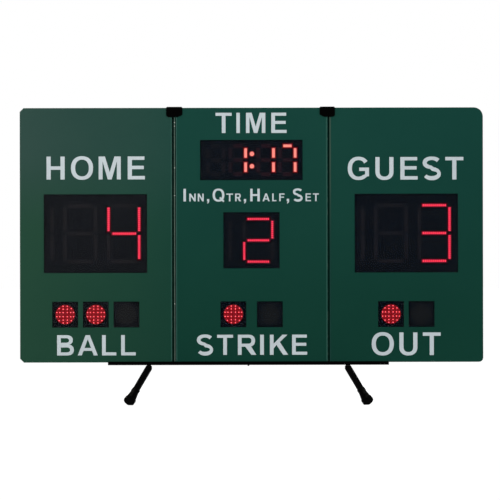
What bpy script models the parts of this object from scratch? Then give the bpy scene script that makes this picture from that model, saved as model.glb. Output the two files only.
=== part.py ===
"""Portable multisport scoreboard: three LED panels hinged side by side on a rail with folding legs.

The board stands open, seen from the front along +Y. The two wings fold back behind the centre
panel, the left one first, and the four legs fold in under the rail. Metres, +Z up, floor at z = 0.
"""

import math

import bmesh
import bpy
from mathutils import Matrix, Vector

# Clearance between pieces that touch
GAP = 0.0003

# Panels: shallow trays, open at the back
CENTER_WIDTH = 0.423
RIGHT_WIDTH = 0.421
WING_SHORTFALL = 0.005
SEAM_GAP = 0.004
PANEL_HEIGHT = 0.698
PANEL_DEPTH = 0.040
SKIN = 0.0025
WALL = 0.003
CUT_CORNER = 0.0105
TOP_CORNER_RADIUS = 0.025
BOTTOM_CORNER_RADIUS = 0.0115
EDGE_RADIUS = 0.0024
BACK_EDGE_SOFTNESS = 0.0008
COVER_THICKNESS = 0.004
STILE_WIDTH = 0.014
# Lips on the seam walls: the centre's lies in front of the wing's and laps past it
LIP_LAP = 0.00015
LIP_DEPTH = 0.012
LIP_THICKNESS = 0.006
LIP_SPACING = 0.002
LIP_ROOT = 0.001
LIP_END = 0.001
BOSS_RADIUS = 0.0045
BOSS_INSET = 0.008
BOSS_MARGIN = 0.024
PILOT_RADIUS = 0.0014
PILOT_DEPTH = 0.012
SCREW_HOLE_RADIUS = 0.0021

# Windows: tinted panes glued inside a raised rim behind each cut-out
LENS_THICKNESS = 0.002
LENS_MARGIN = 0.006
RIM_WIDTH = 0.002
RIM_HEIGHT = 0.003
LENS_TO_LED = 0.0008
LED_HEIGHT = 0.0052
PCB_THICKNESS = 0.0016
POST_RADIUS = 0.0035
POST_CLEARANCE = 0.001

# Cut-outs: width and height, height above the board's bottom, and shift from the panel's middle
SCORE_WINDOW = (0.2835, 0.216)
SCORE_CENTER_Z = 0.3534
TIME_WINDOW = (0.2812, 0.1104)
TIME_CENTER_Z = 0.5545
PERIOD_WINDOW = (0.1544, 0.154)
PERIOD_CENTER_Z = 0.3344
LAMP_WINDOW = 0.071
LAMP_RADIUS = 0.0272
LAMP_CENTER_Z = 0.1315
BALL_PITCH = 0.084
STRIKE_PITCH = 0.100
OUT_PITCH = 0.0837
HOME_SHIFT = -0.0018
BALL_SHIFT = -0.0012
CENTER_SHIFT = 0.0015
GUEST_SHIFT = 0.0001
OUT_SHIFT = -0.0004

# Seven-segment digits: width, height, bar thickness
SCORE_DIGIT = (0.093, 0.162, 0.0093)
TIME_DIGIT = (0.0524, 0.088, 0.0103)
PERIOD_DIGIT = (0.0857, 0.1255, 0.0085)
SCORE_ONE_X = -0.119
SCORE_TENS_X = -0.0418
SCORE_UNITS_X = 0.0779
TIME_DIGITS_X = (-0.0976, -0.0367, 0.0398, 0.0992)
COLON_RADIUS = 0.0072
COLON_HALF_SPACING = 0.017
PERIOD_ONE_X = -0.0585
PERIOD_UNITS_X = 0.0187
# How far a level bar ends inside the digit's edge, in bar thicknesses
LEVEL_BAR_INSET = 1.3

# Hinges behind the seams
HINGE_LENGTH = 0.070
HINGE_HEIGHTS = (0.115, 0.583)
KNUCKLES = 5
KNUCKLE_GAP = 0.0004
LEAF_WIDTH = 0.026
LEAF_THICKNESS = 0.002
FOLD_GAP = 0.006
FLAT_KNUCKLE_RADIUS = 0.0026
RISER_KNUCKLE_RADIUS = 0.004
RISER_ARM_THICKNESS = 0.0025
HINGE_PIN_RADIUS = 0.0013

# Seam clips over the top edge
CLIP_THICKNESS = 0.0024
CLIP_DROP = 0.0253
LEFT_CLIP_WING_REACH = 0.0182
LEFT_CLIP_CENTER_REACH = 0.0260
RIGHT_CLIP_WING_REACH = 0.0172
RIGHT_CLIP_CENTER_REACH = 0.0245
CLIP_CORNER_RADIUS = 0.0065
CLIP_TOP_RADIUS = 0.003
CLIP_SLANT = 0.0045

# Rail: an extruded channel, open downward, with a low lip in front
RAIL_LENGTH = 0.7705
RAIL_OFFSET = -0.009
RAIL_HEIGHT = 0.0072
RAIL_WALL = 0.0025
RAIL_LIP = 0.0025
BOLT_RADIUS = 0.0022
BOLT_PROUD = 0.0028
BOLT_HEAD_RADIUS = 0.0045
BOLT_HEAD_HEIGHT = 0.003
NUT_RADIUS = 0.0044
NUT_HEIGHT = 0.0034

# Legs: tubes on oblique pins, splayed outward and fore and aft
LEG_SPREAD = 0.2735
PIVOT_OUT = 0.012
PIVOT_DROP = 0.008
LEG_LENGTH = 0.1383
LEG_SPLAY = math.radians(30.5)
LEG_TILT = math.radians(45)
TUBE_RADIUS = 0.0094
TUBE_WALL = 0.0015
TUBE_BORE_START = 0.020
TONGUE_THICKNESS = 0.005
TONGUE_RADIUS = 0.0068
TONGUE_STEM = 0.0045
SLOT_DEPTH = 0.0085
LEG_PIN_RADIUS = 0.0024
BRACKET_PLATE = 0.002
BRACKET_LENGTH = 0.044
TIP_LENGTH = 0.045
TIP_FLOOR = 0.010
TIP_RIM_RADIUS = 0.0110
TIP_BASE_RADIUS = 0.0155
TIP_BEAD = 0.00375
TIP_BEAD_PROUD = 0.0005
TIP_SOLE_CHAMFER = 0.0008
FLOOR_FLAT = 0.0012

# Power pieces on the centre back cover
BATTERY_SIZE = (0.150, 0.018, 0.058)
BATTERY_Z = 0.2125
POCKET_WALL = 0.002
BATTERY_LEDGE = 0.004
BATTERY_COVER_THICKNESS = 0.0024
BOARD_SIZE = (0.140, 0.056)
BOARD_Z = 0.456
BOARD_STANDOFF = 0.006
CHIP_SIZE = 0.014
CHIP_HEIGHT = 0.002
CHIPS_X = (-0.048, -0.011, 0.025)
SOCKET_X = 0.053
SOCKET_WIDTH = 0.010
CONTROLS_Z = 0.062
SWITCH_X = 0.085
INLET_X = 0.135
SWITCH_OPENING = (0.0130, 0.0226)
INLET_OPENING = (0.022, 0.014)
SHROUD_WALL = 0.0015
SHROUD_DEPTH = 0.014
FLANGE_WIDTH = 0.003
FLANGE_THICKNESS = 0.0015
ROCKER_TILT = math.radians(10)
ROCKER_HALF_LENGTH = 0.0098
ROCKER_AXLE_RADIUS = 0.0012
ROCKER_AXLE_DEPTH = 0.003
ROCKER_SKIRT = (0.0092, 0.001)
ROCKER_BELLY_RADIUS = 0.0061
BLADE_SIZE = (0.0056, 0.0047)
BLADE_SHIFT = 0.0044

ROUND_SIDES = 20
SMALL_SIDES = 12
LEG_SIDES = 20
BORE_SIDES = 12

# Places worked out from the sizes above
LEFT_WIDTH = CENTER_WIDTH - WING_SHORTFALL
BOARD_WIDTH = LEFT_WIDTH + CENTER_WIDTH + RIGHT_WIDTH + 2 * SEAM_GAP
BOARD_LEFT = -BOARD_WIDTH / 2
BOARD_RIGHT = BOARD_WIDTH / 2
LEFT_SEAM = BOARD_LEFT + LEFT_WIDTH + SEAM_GAP / 2
RIGHT_SEAM = BOARD_RIGHT - RIGHT_WIDTH - SEAM_GAP / 2
CENTER_X = (LEFT_SEAM + RIGHT_SEAM) / 2 + CENTER_SHIFT

FRONT = -PANEL_DEPTH / 2
BACK = PANEL_DEPTH / 2
LENS_FRONT = FRONT + SKIN + GAP
LENS_BACK = LENS_FRONT + LENS_THICKNESS
LED_FRONT = LENS_BACK + LENS_TO_LED
PCB_FRONT = LED_FRONT + LED_HEIGHT
PCB_BACK = PCB_FRONT + PCB_THICKNESS
COVER_FRONT = BACK - COVER_THICKNESS

LEG_DIRECTION = Vector((math.tan(LEG_SPLAY), math.tan(LEG_TILT), -1)).normalized()
LEG_DROP = -LEG_DIRECTION.z
SOLE_RADIUS = TIP_BASE_RADIUS - TIP_SOLE_CHAMFER
PIVOT_Z = LEG_LENGTH * LEG_DROP + SOLE_RADIUS * math.sqrt(1 - LEG_DROP ** 2) - FLOOR_FLAT
RAIL_BOTTOM = PIVOT_Z + PIVOT_DROP
RAIL_TOP = RAIL_BOTTOM + RAIL_HEIGHT
BOARD_BOTTOM = RAIL_TOP + GAP
BOARD_TOP = BOARD_BOTTOM + PANEL_HEIGHT
RAIL_HALF_DEPTH = BACK + GAP + RAIL_WALL

FLAT_AXIS_Y = BACK + FOLD_GAP / 2
RISER_AXIS_Y = BACK + FOLD_GAP + PANEL_DEPTH / 2

FAR = 0.05


def clear_scene():
    for obj in list(bpy.data.objects):
        bpy.data.objects.remove(obj, do_unlink=True)


def make_material(name, color, roughness, metallic=0.0, alpha=1.0):
    mat = bpy.data.materials.new(name)
    mat.use_nodes = True
    shader = mat.node_tree.nodes["Principled BSDF"]
    shader.inputs["Base Color"].default_value = (*color, 1)
    shader.inputs["Roughness"].default_value = roughness
    shader.inputs["Metallic"].default_value = metallic
    shader.inputs["Alpha"].default_value = alpha
    mat.diffuse_color = (*color, alpha)
    return mat


def make_object(name, bm, mat=None, matrix=None):
    """Turn a bmesh into an object. Without a material it is a helper for a Boolean."""
    bmesh.ops.recalc_face_normals(bm, faces=bm.faces)
    mesh = bpy.data.meshes.new(name)
    bm.to_mesh(mesh)
    bm.free()
    obj = bpy.data.objects.new(name, mesh)
    bpy.context.collection.objects.link(obj)
    if matrix is not None:
        obj.matrix_world = matrix
    if mat is None:
        obj.hide_render = True
        obj.display_type = "WIRE"
    else:
        mesh.materials.append(mat)
        mesh.shade_smooth()
        mesh.set_sharp_from_angle(angle=math.radians(35))
    return obj


def boolean(target, helper, operation):
    modifier = target.modifiers.new(operation.lower(), "BOOLEAN")
    modifier.operation = operation
    modifier.solver = "EXACT"
    modifier.object = helper


def add_box(bm, low, high):
    low, high = Vector(low), Vector(high)
    size = high - low
    place = Matrix.Translation((low + high) / 2) @ Matrix.Diagonal((*size, 1))
    bmesh.ops.create_cube(bm, size=1, matrix=place)


def add_block(bm, x, z, width, height, near_y, far_y):
    """A box centred on (x, z) in the front view, from near_y to far_y."""
    add_box(bm, (x - width / 2, near_y, z - height / 2), (x + width / 2, far_y, z + height / 2))


def add_cylinder(bm, start, end, radius, sides=ROUND_SIDES):
    start, end = Vector(start), Vector(end)
    axis = end - start
    turn = axis.to_track_quat("Z", "Y").to_matrix().to_4x4()
    place = Matrix.Translation((start + end) / 2) @ turn
    bmesh.ops.create_cone(bm, cap_ends=True, segments=sides, radius1=radius, radius2=radius,
                          depth=axis.length, matrix=place)


def add_prism(bm, outline, origin, across, up, depth):
    """Extrude a closed outline of (across, up) points along the depth vector from origin."""
    origin, across, up, depth = Vector(origin), Vector(across), Vector(up), Vector(depth)
    near = [bm.verts.new(origin + across * a + up * b) for a, b in outline]
    face = bm.faces.new(near)
    made = bmesh.ops.extrude_face_region(bm, geom=[face])
    moved = [item for item in made["geom"] if isinstance(item, bmesh.types.BMVert)]
    bmesh.ops.translate(bm, verts=moved, vec=depth)


def add_front_prism(bm, outline, near_y, far_y):
    """Extrude an outline of (x, z) points from near_y to far_y."""
    add_prism(bm, outline, (0, near_y, 0), (1, 0, 0), (0, 0, 1), (0, far_y - near_y, 0))


def add_upright_prism(bm, outline, low_z, high_z):
    """Extrude an outline of (x, y) points from low_z to high_z."""
    add_prism(bm, outline, (0, 0, low_z), (1, 0, 0), (0, 1, 0), (0, 0, high_z - low_z))


def add_frame(bm, center_x, center_z, width, height, border, near_y, far_y):
    """A rectangular ring round an opening of the given width and height."""
    rings = []
    for y in (near_y, far_y):
        for grow in (0, border):
            half_w, half_h = width / 2 + grow, height / 2 + grow
            corners = ((-half_w, -half_h), (half_w, -half_h), (half_w, half_h), (-half_w, half_h))
            rings.append([bm.verts.new((center_x + a, y, center_z + b)) for a, b in corners])
    inner_near, outer_near, inner_far, outer_far = rings
    for first, second in ((inner_near, outer_near), (outer_near, outer_far),
                          (outer_far, inner_far), (inner_far, inner_near)):
        for i in range(4):
            j = (i + 1) % 4
            bm.faces.new((first[i], first[j], second[j], second[i]))


def add_lathe(bm, profile, sides=ROUND_SIDES):
    """Revolve a profile of (radius, z) points that starts and ends on the local Z axis."""
    rings = []
    for radius, z in profile:
        if radius < 1e-9:
            rings.append([bm.verts.new((0, 0, z))])
            continue
        angles = [2 * math.pi * i / sides for i in range(sides)]
        rings.append([bm.verts.new((radius * math.cos(a), radius * math.sin(a), z)) for a in angles])
    for first, second in zip(rings, rings[1:]):
        for i in range(sides):
            j = (i + 1) % sides
            corners = [first[i % len(first)], first[j % len(first)],
                       second[j % len(second)], second[i % len(second)]]
            bm.faces.new(list(dict.fromkeys(corners)))


def arc(center, radius, start, end, steps):
    """Points on an arc, angles in degrees."""
    points = []
    for i in range(steps + 1):
        angle = math.radians(start + (end - start) * i / steps)
        points.append((center[0] + radius * math.cos(angle), center[1] + radius * math.sin(angle)))
    return points


def panel_outline(x0, x1, z0, z1, cut_left, round_right, shrink=0.0):
    """A panel's outline: the board's left corners are cut off, its right ones round, the seams square."""
    cut = CUT_CORNER - shrink * (2 - math.sqrt(2))
    top = TOP_CORNER_RADIUS - shrink
    bottom = BOTTOM_CORNER_RADIUS - shrink
    points = []
    if cut_left:
        points += [(x0, z1 - cut), (x0 + cut, z1)]
    else:
        points.append((x0, z1))
    if round_right:
        points += arc((x1 - top, z1 - top), top, 90, 0, 6)
        points += arc((x1 - bottom, z0 + bottom), bottom, 0, -90, 4)
    else:
        points += [(x1, z1), (x1, z0)]
    if cut_left:
        points += [(x0 + cut, z0), (x0, z0 + cut)]
    else:
        points.append((x0, z0))
    return points


class Display:
    """One window cut-out or a row of them, with the pane and circuit board behind it."""

    def __init__(self, label, board, x, z, size, count=1, pitch=0.0):
        self.label = label
        self.board = board
        self.x = x
        self.z = BOARD_BOTTOM + z
        self.width, self.height = size
        self.centers = [x + pitch * (i - (count - 1) / 2) for i in range(count)]
        self.span = self.width + pitch * (count - 1)

    def pane_size(self):
        return self.span + 2 * LENS_MARGIN, self.height + 2 * LENS_MARGIN

    def post_reach(self):
        rim = LENS_MARGIN + GAP + RIM_WIDTH
        return self.span / 2 + rim + POST_CLEARANCE + POST_RADIUS

    def posts(self):
        rise = self.height / 2 - 2 * POST_RADIUS
        return [(self.x + side * self.post_reach(), self.z + lift * rise)
                for side in (-1, 1) for lift in (-1, 1)]


class Panel:
    """One of the three trays: its extent, which sides are at a seam, and its displays."""

    def __init__(self, side, x0, width, displays):
        self.side = side
        self.x0 = x0
        self.x1 = x0 + width
        self.seam_left = side != "left"
        self.seam_right = side != "right"
        self.displays = displays

    def outline(self, inset=0.0):
        return panel_outline(self.x0 + inset, self.x1 - inset, BOARD_BOTTOM + inset, BOARD_TOP - inset,
                             not self.seam_left, not self.seam_right, inset)

    def screw_heights(self):
        return (BOARD_BOTTOM + BOSS_MARGIN, (BOARD_BOTTOM + BOARD_TOP) / 2, BOARD_TOP - BOSS_MARGIN)

    def stiles(self):
        """The x range of the solid strip along each seam side, from the wall's middle inward."""
        ranges = []
        if self.seam_left:
            ranges.append((self.x0 + WALL / 2, self.x0 + WALL + STILE_WIDTH))
        if self.seam_right:
            ranges.append((self.x1 - WALL - STILE_WIDTH, self.x1 - WALL / 2))
        return ranges

    def lips(self):
        """The x range of the lip on each seam wall. Two lips close the view through a seam."""
        reach = SEAM_GAP / 2 + LIP_LAP
        ranges = []
        if self.seam_left:
            ranges.append((self.x0 - reach, self.x0 + LIP_ROOT))
        if self.seam_right:
            ranges.append((self.x1 - LIP_ROOT, self.x1 + reach))
        return ranges

    def boss_x(self):
        if not self.seam_left:
            return [self.x0 + WALL + BOSS_INSET]
        if not self.seam_right:
            return [self.x1 - WALL - BOSS_INSET]
        return []

    def screw_x(self):
        """Where the back cover's screws stand, in bosses or in stiles."""
        middles = []
        if self.seam_left:
            middles.append(self.x0 + WALL + STILE_WIDTH / 2)
        if self.seam_right:
            middles.append(self.x1 - WALL - STILE_WIDTH / 2)
        return middles + self.boss_x()


def make_housing(panel, mat):
    bm = bmesh.new()
    add_front_prism(bm, panel.outline(), FRONT, BACK)
    for y, radius, steps in ((FRONT, EDGE_RADIUS, 2), (BACK, BACK_EDGE_SOFTNESS, 1)):
        rim = [edge for edge in bm.edges if all(abs(vert.co.y - y) < GAP / 2 for vert in edge.verts)]
        bmesh.ops.bevel(bm, geom=rim, offset=radius, segments=steps, profile=0.5, affect="EDGES")
    housing = make_object(panel.side + "_housing", bm, mat)

    bm = bmesh.new()
    add_front_prism(bm, panel.outline(WALL), FRONT + SKIN, BACK + FAR)
    boolean(housing, make_object(panel.side + "_cavity", bm), "DIFFERENCE")

    # Rims, posts, bosses and stiles rise from inside the front skin
    root_y = FRONT + SKIN / 2
    bm = bmesh.new()
    for display in panel.displays:
        pane_w, pane_h = display.pane_size()
        add_frame(bm, display.x, display.z, pane_w + 2 * GAP, pane_h + 2 * GAP, RIM_WIDTH,
                  root_y, FRONT + SKIN + RIM_HEIGHT)
        for x, z in display.posts():
            add_cylinder(bm, (x, root_y, z), (x, PCB_FRONT - GAP, z), POST_RADIUS, SMALL_SIDES)
    for x in panel.boss_x():
        for z in panel.screw_heights():
            add_cylinder(bm, (x, root_y, z), (x, COVER_FRONT - GAP, z), BOSS_RADIUS, SMALL_SIDES)
    for x0, x1 in panel.stiles():
        add_box(bm, (x0, root_y, BOARD_BOTTOM + WALL / 2), (x1, COVER_FRONT - GAP, BOARD_TOP - WALL / 2))
    lip_y = FRONT + LIP_DEPTH + (0 if panel.side == "center" else LIP_THICKNESS + LIP_SPACING)
    for x0, x1 in panel.lips():
        add_box(bm, (x0, lip_y, BOARD_BOTTOM + LIP_END), (x1, lip_y + LIP_THICKNESS, BOARD_TOP - LIP_END))
    boolean(housing, make_object(panel.side + "_ribs", bm), "UNION")

    bm = bmesh.new()
    for display in panel.displays:
        for x in display.centers:
            add_block(bm, x, display.z, display.width, display.height, FRONT - FAR, FRONT + 2 * SKIN)
    for x in panel.screw_x():
        for z in panel.screw_heights():
            add_cylinder(bm, (x, COVER_FRONT - PILOT_DEPTH, z), (x, BACK + FAR, z), PILOT_RADIUS, 8)
    boolean(housing, make_object(panel.side + "_cutouts", bm), "DIFFERENCE")
    return housing


def make_back_cover(panel, mat):
    bm = bmesh.new()
    add_front_prism(bm, panel.outline(WALL + GAP), COVER_FRONT, BACK)
    cover = make_object(panel.side + "_back_cover", bm, mat)
    bm = bmesh.new()
    for x in panel.screw_x():
        for z in panel.screw_heights():
            add_cylinder(bm, (x, COVER_FRONT - FAR, z), (x, BACK + FAR, z), SCREW_HOLE_RADIUS, 8)
    boolean(cover, make_object(panel.side + "_cover_holes", bm), "DIFFERENCE")
    return cover


def make_pane(display, mat):
    bm = bmesh.new()
    add_block(bm, display.x, display.z, *display.pane_size(), LENS_FRONT, LENS_BACK)
    make_object(display.label + "_window", bm, mat)


def digit_bars(x, z, digit):
    """The seven bars of a digit as (x0, x1, z0, z1): three level, then four upright."""
    width, height, bar = digit
    upright = (height - 3 * bar) / 2
    inset = bar * LEVEL_BAR_INSET
    bars = []
    for row in (-1, 0, 1):
        middle = z + row * (height - bar) / 2
        bars.append((x - width / 2 + inset, x + width / 2 - inset, middle - bar / 2, middle + bar / 2))
    for side in (-1, 1):
        edge = x + side * (width - bar) / 2
        for half in (-1, 1):
            middle = z + half * (upright + bar) / 2
            bars.append((edge - bar / 2, edge + bar / 2, middle - upright / 2, middle + upright / 2))
    return bars


def one_bars(x, z, digit):
    """A leading one: the two upright bars of one side, centred on x."""
    width, height, bar = digit
    upright = (height - 3 * bar) / 2
    return [(x - bar / 2, x + bar / 2, z + half * (upright + bar) / 2 - upright / 2,
             z + half * (upright + bar) / 2 + upright / 2) for half in (-1, 1)]


def make_display_board(display, bars, discs, mat):
    """A circuit board on the posts, with its LED bars and discs standing up behind the pane."""
    reach = display.post_reach() + POST_RADIUS + POST_CLEARANCE
    bm = bmesh.new()
    add_block(bm, display.x, display.z, 2 * reach, display.height, PCB_FRONT, PCB_BACK)
    board = make_object(display.board, bm, mat)
    bm = bmesh.new()
    root_y = PCB_FRONT + PCB_THICKNESS / 2
    for x0, x1, z0, z1 in bars:
        add_box(bm, (x0, LED_FRONT, z0), (x1, root_y, z1))
    for x, z, radius in discs:
        add_cylinder(bm, (x, LED_FRONT, z), (x, root_y, z), radius, ROUND_SIDES)
    boolean(board, make_object(display.board + "_leds", bm), "UNION")


def score_bars(display):
    return (one_bars(display.x + SCORE_ONE_X, display.z, SCORE_DIGIT)
            + digit_bars(display.x + SCORE_TENS_X, display.z, SCORE_DIGIT)
            + digit_bars(display.x + SCORE_UNITS_X, display.z, SCORE_DIGIT))


def time_bars(display):
    bars = []
    for x in TIME_DIGITS_X:
        bars += digit_bars(display.x + x, display.z, TIME_DIGIT)
    return bars


def period_bars(display):
    return (one_bars(display.x + PERIOD_ONE_X, display.z, PERIOD_DIGIT)
            + digit_bars(display.x + PERIOD_UNITS_X, display.z, PERIOD_DIGIT))


def lamp_discs(display):
    return [(x, display.z, LAMP_RADIUS) for x in display.centers]


def knuckle_ranges(low_z, wanted):
    """The z ranges of the even (0) or odd (1) knuckles of a hinge that starts at low_z."""
    pitch = HINGE_LENGTH / KNUCKLES
    return [(low_z + pitch * i + KNUCKLE_GAP / 2, low_z + pitch * (i + 1) - KNUCKLE_GAP / 2)
            for i in range(KNUCKLES) if i % 2 == wanted]


def make_leaf(name, plate, tab, axis, radius, low_z, wanted, mat):
    """A hinge leaf: a full-length plate outline, a tab outline at its own knuckles, and the barrel."""
    bm = bmesh.new()
    add_upright_prism(bm, plate, low_z, low_z + HINGE_LENGTH)
    leaf = make_object(name, bm, mat)
    tabs = bmesh.new()
    barrels = bmesh.new()
    for z0, z1 in knuckle_ranges(low_z, wanted):
        add_upright_prism(tabs, tab, z0, z1)
        add_cylinder(barrels, (*axis, z0), (*axis, z1), radius, 16)
    boolean(leaf, make_object(name + "_tabs", tabs), "UNION")
    boolean(leaf, make_object(name + "_barrels", barrels), "UNION")
    bm = bmesh.new()
    add_cylinder(bm, (*axis, low_z - FAR), (*axis, low_z + HINGE_LENGTH + FAR), HINGE_PIN_RADIUS + GAP,
                 BORE_SIDES)
    boolean(leaf, make_object(name + "_bore", bm), "DIFFERENCE")


def make_hinge_pin(name, axis, low_z, mat):
    bm = bmesh.new()
    add_cylinder(bm, (*axis, low_z), (*axis, low_z + HINGE_LENGTH), HINGE_PIN_RADIUS, BORE_SIDES)
    make_object(name, bm, mat)


def make_flat_hinge(name, seam, low_z, mat):
    """The left hinge: leaves flat on the backs, barrel just behind the seam."""
    axis = (seam, FLAT_AXIS_Y)
    leaf_y0 = BACK + GAP
    leaf_y1 = leaf_y0 + LEAF_THICKNESS
    clear = FLAT_KNUCKLE_RADIUS + 2 * GAP
    for side, leaf, wanted in ((-1, "wing_leaf", 1), (1, "fixed_leaf", 0)):
        near, far = seam + side * clear, seam + side * (SEAM_GAP / 2 + LEAF_WIDTH)
        plate = [(near, leaf_y0), (far, leaf_y0), (far, leaf_y1), (near, leaf_y1)]
        inner = seam + side * FLAT_KNUCKLE_RADIUS / 2
        outer = near + side * LEAF_THICKNESS
        tab = [(inner, leaf_y0 + GAP), (outer, leaf_y0 + GAP), (outer, leaf_y1 - GAP), (inner, leaf_y1 - GAP)]
        make_leaf(name + "_" + leaf, plate, tab, axis, FLAT_KNUCKLE_RADIUS, low_z, wanted, mat)
    make_hinge_pin(name + "_pin", axis, low_z, mat)


def make_riser_hinge(name, seam, low_z, mat):
    """The right hinge: its barrel stands off by half a panel, so this wing closes over the left one."""
    axis = (seam, RISER_AXIS_Y)
    leaf_y0 = BACK + GAP
    leaf_y1 = leaf_y0 + RISER_ARM_THICKNESS
    arm_y1 = RISER_AXIS_Y - RISER_KNUCKLE_RADIUS - 2 * GAP
    for side, leaf, wanted in ((1, "wing_leaf", 1), (-1, "fixed_leaf", 0)):
        near = seam + side * (SEAM_GAP / 2 + GAP)
        arm = near + side * RISER_ARM_THICKNESS
        fillet = arm + side * RISER_ARM_THICKNESS
        far = near + side * LEAF_WIDTH
        plate = [(near, leaf_y0), (far, leaf_y0), (far, leaf_y1), (fillet, leaf_y1),
                 (arm, leaf_y1 + RISER_ARM_THICKNESS), (arm, arm_y1), (near, arm_y1)]
        tab_near, tab_far = near + side * GAP, arm - side * GAP
        tab_y0 = arm_y1 - RISER_ARM_THICKNESS
        tab = [(tab_near, tab_y0), (tab_far, tab_y0), (tab_far, RISER_AXIS_Y), (tab_near, RISER_AXIS_Y)]
        make_leaf(name + "_" + leaf, plate, tab, axis, RISER_KNUCKLE_RADIUS, low_z, wanted, mat)
    make_hinge_pin(name + "_pin", axis, low_z, mat)


def make_clip(name, seam, wing_side, wing_reach, center_reach, mat):
    """A saddle over the top edge: it grips the centre panel and stops the wing's front face."""
    face = FRONT - GAP
    rear = BACK + GAP
    top = BOARD_TOP + GAP + CLIP_THICKNESS
    low = BOARD_TOP - CLIP_DROP
    corner = CLIP_CORNER_RADIUS
    crown = CLIP_TOP_RADIUS
    slant_top = low + CLIP_SLANT
    # Distances from the seam, the wing's side positive
    outline = arc((wing_reach - crown, top - crown), crown, 90, 0, 3)
    outline += arc((wing_reach - corner, low + corner), corner, 0, -90, 5)
    outline += [(-center_reach / 2, low), (CLIP_THICKNESS - center_reach, slant_top),
                (-center_reach, slant_top + CLIP_THICKNESS)]
    outline += arc((crown - center_reach, top - crown), crown, 180, 90, 3)
    bm = bmesh.new()
    add_front_prism(bm, [(seam + wing_side * reach, z) for reach, z in outline], face - CLIP_THICKNESS,
                    rear + CLIP_THICKNESS)
    clip = make_object(name, bm, mat)

    bm = bmesh.new()
    add_box(bm, (seam - FAR, face, low - FAR), (seam + FAR, rear, BOARD_TOP + GAP))
    boolean(clip, make_object(name + "_slot", bm), "DIFFERENCE")
    wing_edge, wing_end = sorted((seam - wing_side * SEAM_GAP / 2, seam + wing_side * FAR))
    bm = bmesh.new()
    add_box(bm, (wing_edge, rear - GAP, low - FAR), (wing_end, rear + FAR, BOARD_TOP + GAP))
    boolean(clip, make_object(name + "_wing_relief", bm), "DIFFERENCE")


def make_rail(mat):
    half, wall = RAIL_HALF_DEPTH, RAIL_WALL
    profile = [(-half, 0), (-half, RAIL_HEIGHT + RAIL_LIP), (-half + wall, RAIL_HEIGHT + RAIL_LIP),
               (-half + wall, RAIL_HEIGHT), (half, RAIL_HEIGHT), (half, 0), (half - wall, 0),
               (half - wall, RAIL_HEIGHT - wall), (-half + wall, RAIL_HEIGHT - wall), (-half + wall, 0)]
    left = RAIL_OFFSET - RAIL_LENGTH / 2
    bm = bmesh.new()
    add_prism(bm, profile, (left, 0, RAIL_BOTTOM), (0, 1, 0), (0, 0, 1), (RAIL_LENGTH, 0, 0))
    rail = make_object("support_rail", bm, mat)
    bm = bmesh.new()
    add_box(bm, (LEFT_SEAM + SEAM_GAP / 2, half - wall, RAIL_TOP - wall / 2),
            (RIGHT_SEAM - SEAM_GAP / 2, half, RAIL_TOP + RAIL_LIP))
    boolean(rail, make_object("rail_rear_lip", bm), "UNION")
    return rail


def make_rail_bolt(rail, housing, mat):
    """The bolt that holds the rail to the centre panel, its end showing below the rail's middle."""
    seat = BOARD_BOTTOM + WALL + GAP
    bm = bmesh.new()
    bolt_end = RAIL_BOTTOM - BOLT_PROUD
    add_cylinder(bm, (RAIL_OFFSET, 0, bolt_end), (RAIL_OFFSET, 0, seat + BOLT_HEAD_HEIGHT / 2), BOLT_RADIUS,
                 SMALL_SIDES)
    bolt = make_object("rail_bolt", bm, mat)
    bm = bmesh.new()
    add_cylinder(bm, (RAIL_OFFSET, 0, seat), (RAIL_OFFSET, 0, seat + BOLT_HEAD_HEIGHT), BOLT_HEAD_RADIUS, 6)
    boolean(bolt, make_object("rail_bolt_head", bm), "UNION")

    nut_top = RAIL_TOP - RAIL_WALL - GAP
    bm = bmesh.new()
    add_cylinder(bm, (RAIL_OFFSET, 0, nut_top - NUT_HEIGHT), (RAIL_OFFSET, 0, nut_top), NUT_RADIUS, 6)
    nut = make_object("rail_nut", bm, mat)
    bm = bmesh.new()
    add_cylinder(bm, (RAIL_OFFSET, 0, RAIL_BOTTOM - FAR), (RAIL_OFFSET, 0, seat + BOLT_HEAD_HEIGHT / 2),
                 BOLT_RADIUS + GAP, SMALL_SIDES)
    hole = make_object("rail_bolt_hole", bm)
    for piece in (rail, housing, nut):
        boolean(piece, hole, "DIFFERENCE")


def leg_frame(side, end):
    """The pivot's place and axes: local -Z runs down the leg and local X along the pin.

    side is -1 on the left and 1 on the right, end is -1 in front and 1 behind.
    """
    pivot = Vector((RAIL_OFFSET + side * LEG_SPREAD, end * PIVOT_OUT, PIVOT_Z))
    down = Vector((side * LEG_DIRECTION.x, end * LEG_DIRECTION.y, LEG_DIRECTION.z))
    pin = Vector((0, end * math.cos(LEG_TILT), math.sin(LEG_TILT)))
    up = -down
    matrix = Matrix((pin, up.cross(pin), up)).transposed().to_4x4()
    matrix.translation = pivot
    return matrix, pin


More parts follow.
